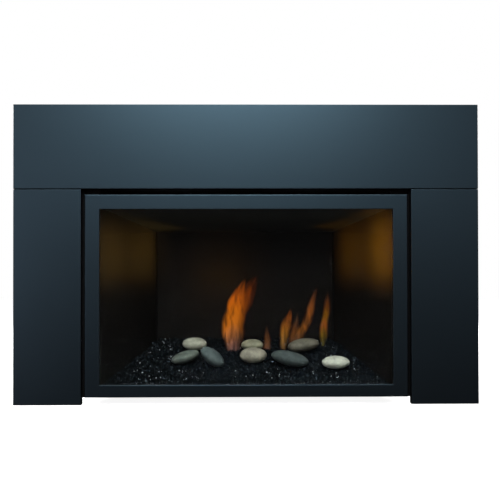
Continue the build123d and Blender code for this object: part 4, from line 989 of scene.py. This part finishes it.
@dataclass
class Fire:
    """The flames that stand on the bed behind the pebbles."""

    front_y: float
    body: str = "insert"
    tongues: tuple[Tongue, ...] = (
        Tongue("flame_tall", 236.0, -0.62, 1.1, 0.12, (
            (-29.6, 102.6, 12.5), (-30.2, 118.1, 18.0), (-30.9, 146.6, 23.0), (-31.0, 176.2, 24.4),
            (-24.9, 206.2, 22.8), (-17.9, 234.8, 19.6), (-10.7, 259.1, 14.6), (-4.0, 279.2, 8.4),
            (1.3, 298.4, 1.2),
        ), ("#f0ad9f", "#f09558", "#f08424", "#f0801a", "#f0761a", "#d86414", "#a85010")),
        Tongue("flame_tall_right", 243.0, 0.0, 0.3, 0.12, (
            (-19.5, 107.2, 9.0), (-19.7, 133.2, 10.8), (-20.0, 172.2, 13.2), (-12.4, 208.5, 15.8),
            (-1.3, 237.1, 17.2), (9.1, 260.5, 14.6), (19.5, 282.7, 11.0), (33.0, 306.2, 1.2),
        ), ("#f0b8a4", "#f09854", "#f08428", "#f0781c", "#f06e18", "#f06a1a", "#f0681c")),
        Tongue("flame_small", 246.0, -0.2, 0.14, 0.9, (
            (55.9, 101.7, 5.0), (55.9, 117.4, 10.9), (57.0, 130.4, 9.4), (55.9, 148.6, 5.7),
            (54.9, 175.6, 0.8),
        ), ("#f0a488", "#f09c5c", "#f0924a", "#f08c50", "#f08c50")),
        Tongue("flame_middle", 240.0, 0.0, 0.48, 0.12, (
            (96.3, 102.2, 4.5), (97.3, 117.8, 7.8), (98.9, 138.6, 9.3), (101.5, 159.3, 10.9),
            (107.7, 180.1, 11.9), (114.0, 199.6, 7.3), (118.1, 219.1, 0.9),
        ), ("#f0b06c", "#f0a84c", "#f09a2e", "#f08a2c", "#f07c2c", "#f07c2c")),
        Tongue("flame_middle_right", 250.0, 0.0, 0.11, 0.4, (
            (113.4, 117.0, 5.0), (118.6, 137.9, 8.9), (125.3, 158.7, 8.3), (131.6, 179.6, 6.3),
            (135.5, 208.3, 0.9),
        ), ("#f0a878", "#f09040", "#f08c40", "#f0a070", "#f0a878")),
        Tongue("flame_leaning", 258.0, 0.1, 0.31, 0.4, (
            (126.8, 121.7, 8.0), (133.3, 137.3, 13.6), (142.4, 153.0, 12.5), (155.5, 171.3, 10.5),
            (164.7, 194.8, 9.9), (171.2, 223.6, 9.9), (178.5, 247.5, 6.4), (188.9, 277.0, 0.8),
        ), ("#f0a878", "#f09440", "#f08c34", "#f08834", "#e07c38", "#c8682c", "#a85428")),
        Tongue("flame_right", 262.0, -0.1, 0.48, 0.25, (
            (202.0, 116.1, 4.0), (202.6, 134.5, 8.4), (203.1, 155.4, 9.4), (206.7, 179.0, 8.6),
            (211.3, 205.1, 8.2), (213.5, 234.7, 6.8), (215.0, 268.2, 0.8),
        ), ("#d0c060", "#f0b82c", "#f08034", "#d08818", "#a85820", "#8c4820", "#744020")),
    )  # fmt: skip

    def build(self) -> list[bpy.types.Object]:
        """Makes every tongue's sheets, which light the firebox but cast no shadow.

        Returns:
            The flame pieces.
        """
        finish = Flame("gas_flame", "#000000", "#000000", 1.0)
        pieces = []
        for tongue in self.tongues:
            for sheet in tongue.surfaces(self.front_y):
                piece = sheet.place(finish)
                piece.visible_shadow = False
                piece.visible_glossy = False
                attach(piece, self.body)
                pieces.append(piece)
        return pieces


@dataclass
class Gasket:
    """The knitted rope between the pane and the face plate."""

    braid_pitch_mm: float = 7.0
    strands: int = 8
    corner_mm: float = 9.0
    overlap_mm: float = 1.2
    fullness: float = 0.96
    relief: float = 0.07
    rows_per_pitch: int = 5
    columns: int = 20
    body: str = "insert"

    def path(self, inner: np.ndarray, s: np.ndarray) -> tuple[np.ndarray, np.ndarray]:
        """Goes round a rectangle: a quarter turn at each corner, then the side after it.

        Args:
            inner: half the rectangle's width and height, less the corners' radius.
            s: how far along the way each wanted point is.

        Returns:
            Each point's place from the rectangle's middle, and its direction outward.
        """
        corner, arc = self.corner_mm, self.corner_mm * math.pi / 2
        place, outward = np.zeros((len(s), 2)), np.zeros((len(s), 2))
        turns = np.radians((0, 90, 180, 270))
        signs = np.array(((1, 1), (-1, 1), (-1, -1), (1, -1)))
        start = 0.0
        for turn, sign, side in zip(turns, signs, 2 * inner[[0, 1, 0, 1]]):
            bend = (s >= start) & (s < start + arc)
            angle = turn + (s[bend] - start) / corner
            direction = np.stack((np.cos(angle), np.sin(angle)), -1)
            place[bend] = sign * inner + corner * direction
            outward[bend] = direction
            run = (s >= start + arc) & (s < start + arc + side)
            end = turn + math.pi / 2
            direction = np.array((math.cos(end), math.sin(end)))
            travel = np.array((-direction[1], direction[0]))
            place[run] = sign * inner + corner * direction + np.outer(s[run] - start - arc, travel)
            outward[run] = direction
            start += arc + side
        return place, outward

    def surface(self) -> Surface:
        """Carries a flattened circle round a rectangle with rounded corners.

        At run s and angle a the weave is sin(m a + k s) sin(m a - k s), with m half the strands
        and k one turn for each pitch, and the rope's reach is 0.96 + 0.07 times the weave.

        Returns:
            The closed rope.
        """
        low, high = (np.array(corner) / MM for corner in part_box("window_gasket"))
        thick = (high[1] - low[1]) / 2
        half_band = thick + self.overlap_mm
        middle_z = (high[2] + low[2]) / 2
        inner = np.array((high[0], high[2])) - half_band - self.corner_mm
        inner[1] -= middle_z
        total = 4 * inner.sum() + 4 * self.corner_mm * math.pi / 2
        pitches = round(total / self.braid_pitch_mm)
        rows = pitches * self.rows_per_pitch
        s = np.linspace(0, total, rows, endpoint=False)
        place, outward = self.path(inner, s)
        a = np.linspace(0, 2 * math.pi, self.columns, endpoint=False)[None]
        m, k = self.strands / 2, 2 * math.pi * pitches / total
        weave = np.sin(m * a + k * s[:, None]) * np.sin(m * a - k * s[:, None])
        reach = self.fullness + self.relief * weave
        side = half_band * np.cos(a) * reach
        x = place[:, 0:1] + side * outward[:, 0:1]
        y = (low[1] + high[1]) / 2 + thick * np.sin(a) * np.minimum(reach, 1.0)
        z = middle_z + place[:, 1:2] + side * outward[:, 1:2]
        points = np.stack((x, y, z), -1).reshape(-1, 3) * MM
        faces = grid_faces(rows, self.columns, True, True)[:, ::-1]
        # The weave also paints shade into the valleys between the strands.
        return Surface("gasket_rope", points, faces, {"strand_shade": (0.5 + 0.5 * weave).ravel()})

    def build(self) -> bpy.types.Object:
        """Makes the rope in place of the plain gasket.

        Returns:
            The rope.
        """
        piece = self.surface().place(Wear.rope_gasket.value)
        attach(piece, self.body)
        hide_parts("window_gasket")
        return piece


@dataclass
class Steelwork:
    """The CAD nodes whose shape is right: they stay, and get their slot's finish."""

    nodes: dict[str, bpy.types.Object]
    record: dict
    # The baffle's enamel is matt and lighter grey than the liners.
    dulled: Porcelain = Porcelain("matt_grey_baffle_enamel", "#242624", "#2d2f2c", 0.55)
    # The ducts seen through the gap above the frame are darkened steel: painted shade of that
    # recess.
    tinted: BareMetal = BareMetal("shade_darkened_duct_steel", "#2b2a29", "#403e3b", 0.5)

    def build(self) -> int:
        """Puts each node's finish into its material slots.

        Returns:
            How many nodes were finished.
        """
        # The baffle gets a matt grey enamel; the ducts get dark steel, painted shade of the recess.
        aged = {"baffle": self.dulled, "exhaust_duct": self.tinted, "intake_duct": self.tinted}
        for part in self.record["subparts"]:
            node = self.nodes[part["node"]]
            wear = aged.get(part["node"], Wear[part["material_slot"]].value)
            node.data.materials.clear()
            node.data.materials.append(wear.material())
            if part["material_slot"] == "ceramic_glass":
                node.visible_shadow = False
        return len(self.record["subparts"])


@dataclass(frozen=True)
class Lamp:
    """A soft rectangular lamp: its place, size and target in metres, and its power in watts.

    A lamp inside the firebox only tints the enamel, and is never seen or mirrored itself. One
    that stays outside isn't mirrored by what lies behind the pane.
    """

    name: str
    place: Triple
    size: Pair
    target: Triple
    power: float
    colour: str = "#ffffff"
    spread: float = 180.0
    inside: bool = False
    outside: bool = False

    def hang(self) -> None:
        """Makes the lamp and turns it to its target."""
        light = bpy.data.lights.new(self.name, "AREA")
        light.shape = "RECTANGLE"
        light.size, light.size_y = self.size
        light.energy = self.power
        light.color = linear(self.colour)[:3]
        light.spread = math.radians(self.spread)
        hung = bpy.data.objects.new(self.name, light)
        hung.location = self.place
        aim = Vector(self.target) - Vector(self.place)
        hung.rotation_euler = aim.to_track_quat("-Z", "Y").to_euler()
        hung.visible_camera = False
        hung.visible_glossy = not self.inside
        hung.visible_transmission = not (self.inside or self.outside)
        bpy.context.scene.collection.objects.link(hung)


@dataclass
class Studio:
    """A plain pale floor, plain soft light and the camera at the photograph's angle."""

    floor_size: float = 14.0
    floor_drop: float = 0.0005
    floor_points: int = 9
    paper: Paper = Paper("floor_paper", "#f4f4f4", "#ffffff", 0.9)
    dome_low: Colour = (0.006, 0.006, 0.006, 1.0)
    dome_high: Colour = (0.16, 0.17, 0.18, 1.0)
    sensor: float = 36.0
    lens: float = 74.848
    eye: Triple = (-0.0297, -2.650, 0.3310)
    pan: float = 0.886
    pitch: float = 0.760
    roll: float = 0.087
    lamps: tuple[Lamp, ...] = (
        Lamp("key", (-0.04, -2.35, 1.55), (1.0, 0.7), (0.0, -0.2, 0.35), 31.8),
        Lamp("high", (0.0, -1.55, 2.15), (1.2, 0.5), (0.0, -0.05, 0.1), 22.0),
        Lamp("side", (-1.5, -2.15, 0.38), (0.8, 0.8), (0.0, -0.2, 0.35), 5.8, "#fff2f8",
             outside=True),
        Lamp("fill", (-0.05, -2.35, 0.80), (2.6, 0.30), (0.0, -0.2, 0.40), 2.55, "#f6f6ff",
             outside=True),
        Lamp("fill_right", (1.5, -2.2, 0.50), (0.7, 0.7), (0.3, -0.2, 0.40), 0.8, "#fff6fa",
             outside=True),
        Lamp("top", (0.0, 0.1, 2.4), (2.0, 1.6), (0.0, 0.0, 0.3), 22.0),
        Lamp("back_left", (-2.0, 2.2, 1.5), (1.2, 1.2), (0.0, 0.1, 0.3), 85.0),
        Lamp("back_right", (2.0, 2.2, 1.5), (1.2, 1.2), (0.0, 0.1, 0.3), 85.0),
        Lamp("glow_left_near", (-0.234, -0.153, 0.358), (0.14, 0.12), (-0.327, -0.117, 0.357),
             0.31, "#ffc861", 75.0, inside=True),
        Lamp("glow_left_far", (-0.172, 0.000, 0.360), (0.15, 0.12), (-0.265, 0.036, 0.359),
             0.28, "#ffc861", 75.0, inside=True),
        Lamp("glow_right_near", (0.240, -0.168, 0.366), (0.10, 0.13), (0.333, -0.132, 0.365),
             0.87, "#ffac1c", 75.0, inside=True),
        Lamp("glow_right_far", (0.188, -0.033, 0.362), (0.17, 0.12), (0.281, 0.003, 0.361),
             0.39, "#ffac1c", 75.0, inside=True),
        Lamp("glow_back", (-0.062, -0.060, 0.290), (0.10, 0.05), (-0.072, 0.128, 0.300),
             0.07, "#ffb326", 80.0, inside=True),
    )  # fmt: skip

    def floor(self) -> bpy.types.Object:
        """Makes the floor, which neither tints nor lights the object.

        Returns:
            The floor.
        """
        half, count = self.floor_size / 2, self.floor_points
        u = np.linspace(-half, half, count)
        x, y = np.meshgrid(u, u, indexing="ij")
        points = np.stack((x, y, np.full(x.shape, -self.floor_drop)), -1).reshape(-1, 3)
        faces = grid_faces(count, count, False, False)[:, ::-1]
        piece = Surface("floor", points, faces).place(self.paper)
        piece.visible_glossy = False
        piece.visible_diffuse = False
        piece.visible_transmission = False
        return piece

    def sky(self) -> None:
        """Makes a white backdrop, which the object reflects only as a dim dome."""
        world = bpy.data.worlds.new("studio")
        bpy.context.scene.world = world
        world.use_nodes = True
        tree = world.node_tree
        tree.nodes.clear()
        way = add(tree, "ShaderNodeTexCoord").outputs["Generated"]
        height = add(tree, "ShaderNodeSeparateXYZ", {"Vector": way}).outputs["Z"]
        dome = add(tree, "ShaderNodeValToRGB", {"Fac": height})
        dome.color_ramp.elements[0].color = self.dome_low
        dome.color_ramp.elements[1].color = self.dome_high
        seen = add(tree, "ShaderNodeLightPath").outputs["Is Camera Ray"]
        inputs = {0: seen, 6: dome.outputs["Color"], 7: linear("#ffffff")}
        mix = add(tree, "ShaderNodeMix", inputs, data_type="RGBA")
        shade = add(tree, "ShaderNodeBackground", {"Color": mix.outputs[2]})
        add(tree, "ShaderNodeOutputWorld", {"Surface": shade.outputs["Background"]})

    def camera(self) -> None:
        """Sets the camera up as the photograph has it."""
        data = bpy.data.cameras.new("camera")
        data.lens = self.lens
        data.sensor_width = self.sensor
        camera = bpy.data.objects.new("camera", data)
        camera.location = self.eye
        camera.rotation_euler = Euler(
            (math.radians(90 + self.pitch), math.radians(self.roll), math.radians(-self.pan))
        )
        bpy.context.scene.collection.objects.link(camera)
        bpy.context.scene.camera = camera

    def build(self) -> None:
        """Sets up the floor, the light, the backdrop and the camera."""
        bpy.context.scene.view_settings.view_transform = "Standard"
        self.camera()
        self.sky()
        for lamp in self.lamps:
            lamp.hang()
        self.floor()


def main() -> None:
    """Builds the scene over the frame, and reports each piece."""
    logging.basicConfig(level=logging.INFO, format="%(name)s: %(message)s")
    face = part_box("surround_top_panel")[0].y / MM
    Studio().build()
    LOG.info("studio is set up")
    LOG.info("%d nodes have their finish", Steelwork(frame["nodes"], frame["record"]).build())
    made = [Gasket().build()]
    made += Bed(face).build()
    made += Pebbles(face).build()
    made += Fire(face).build()
    for piece in made:
        LOG.info("%s: %d faces", piece.name, len(piece.data.polygons))


if __name__ == "__main__":
    main()
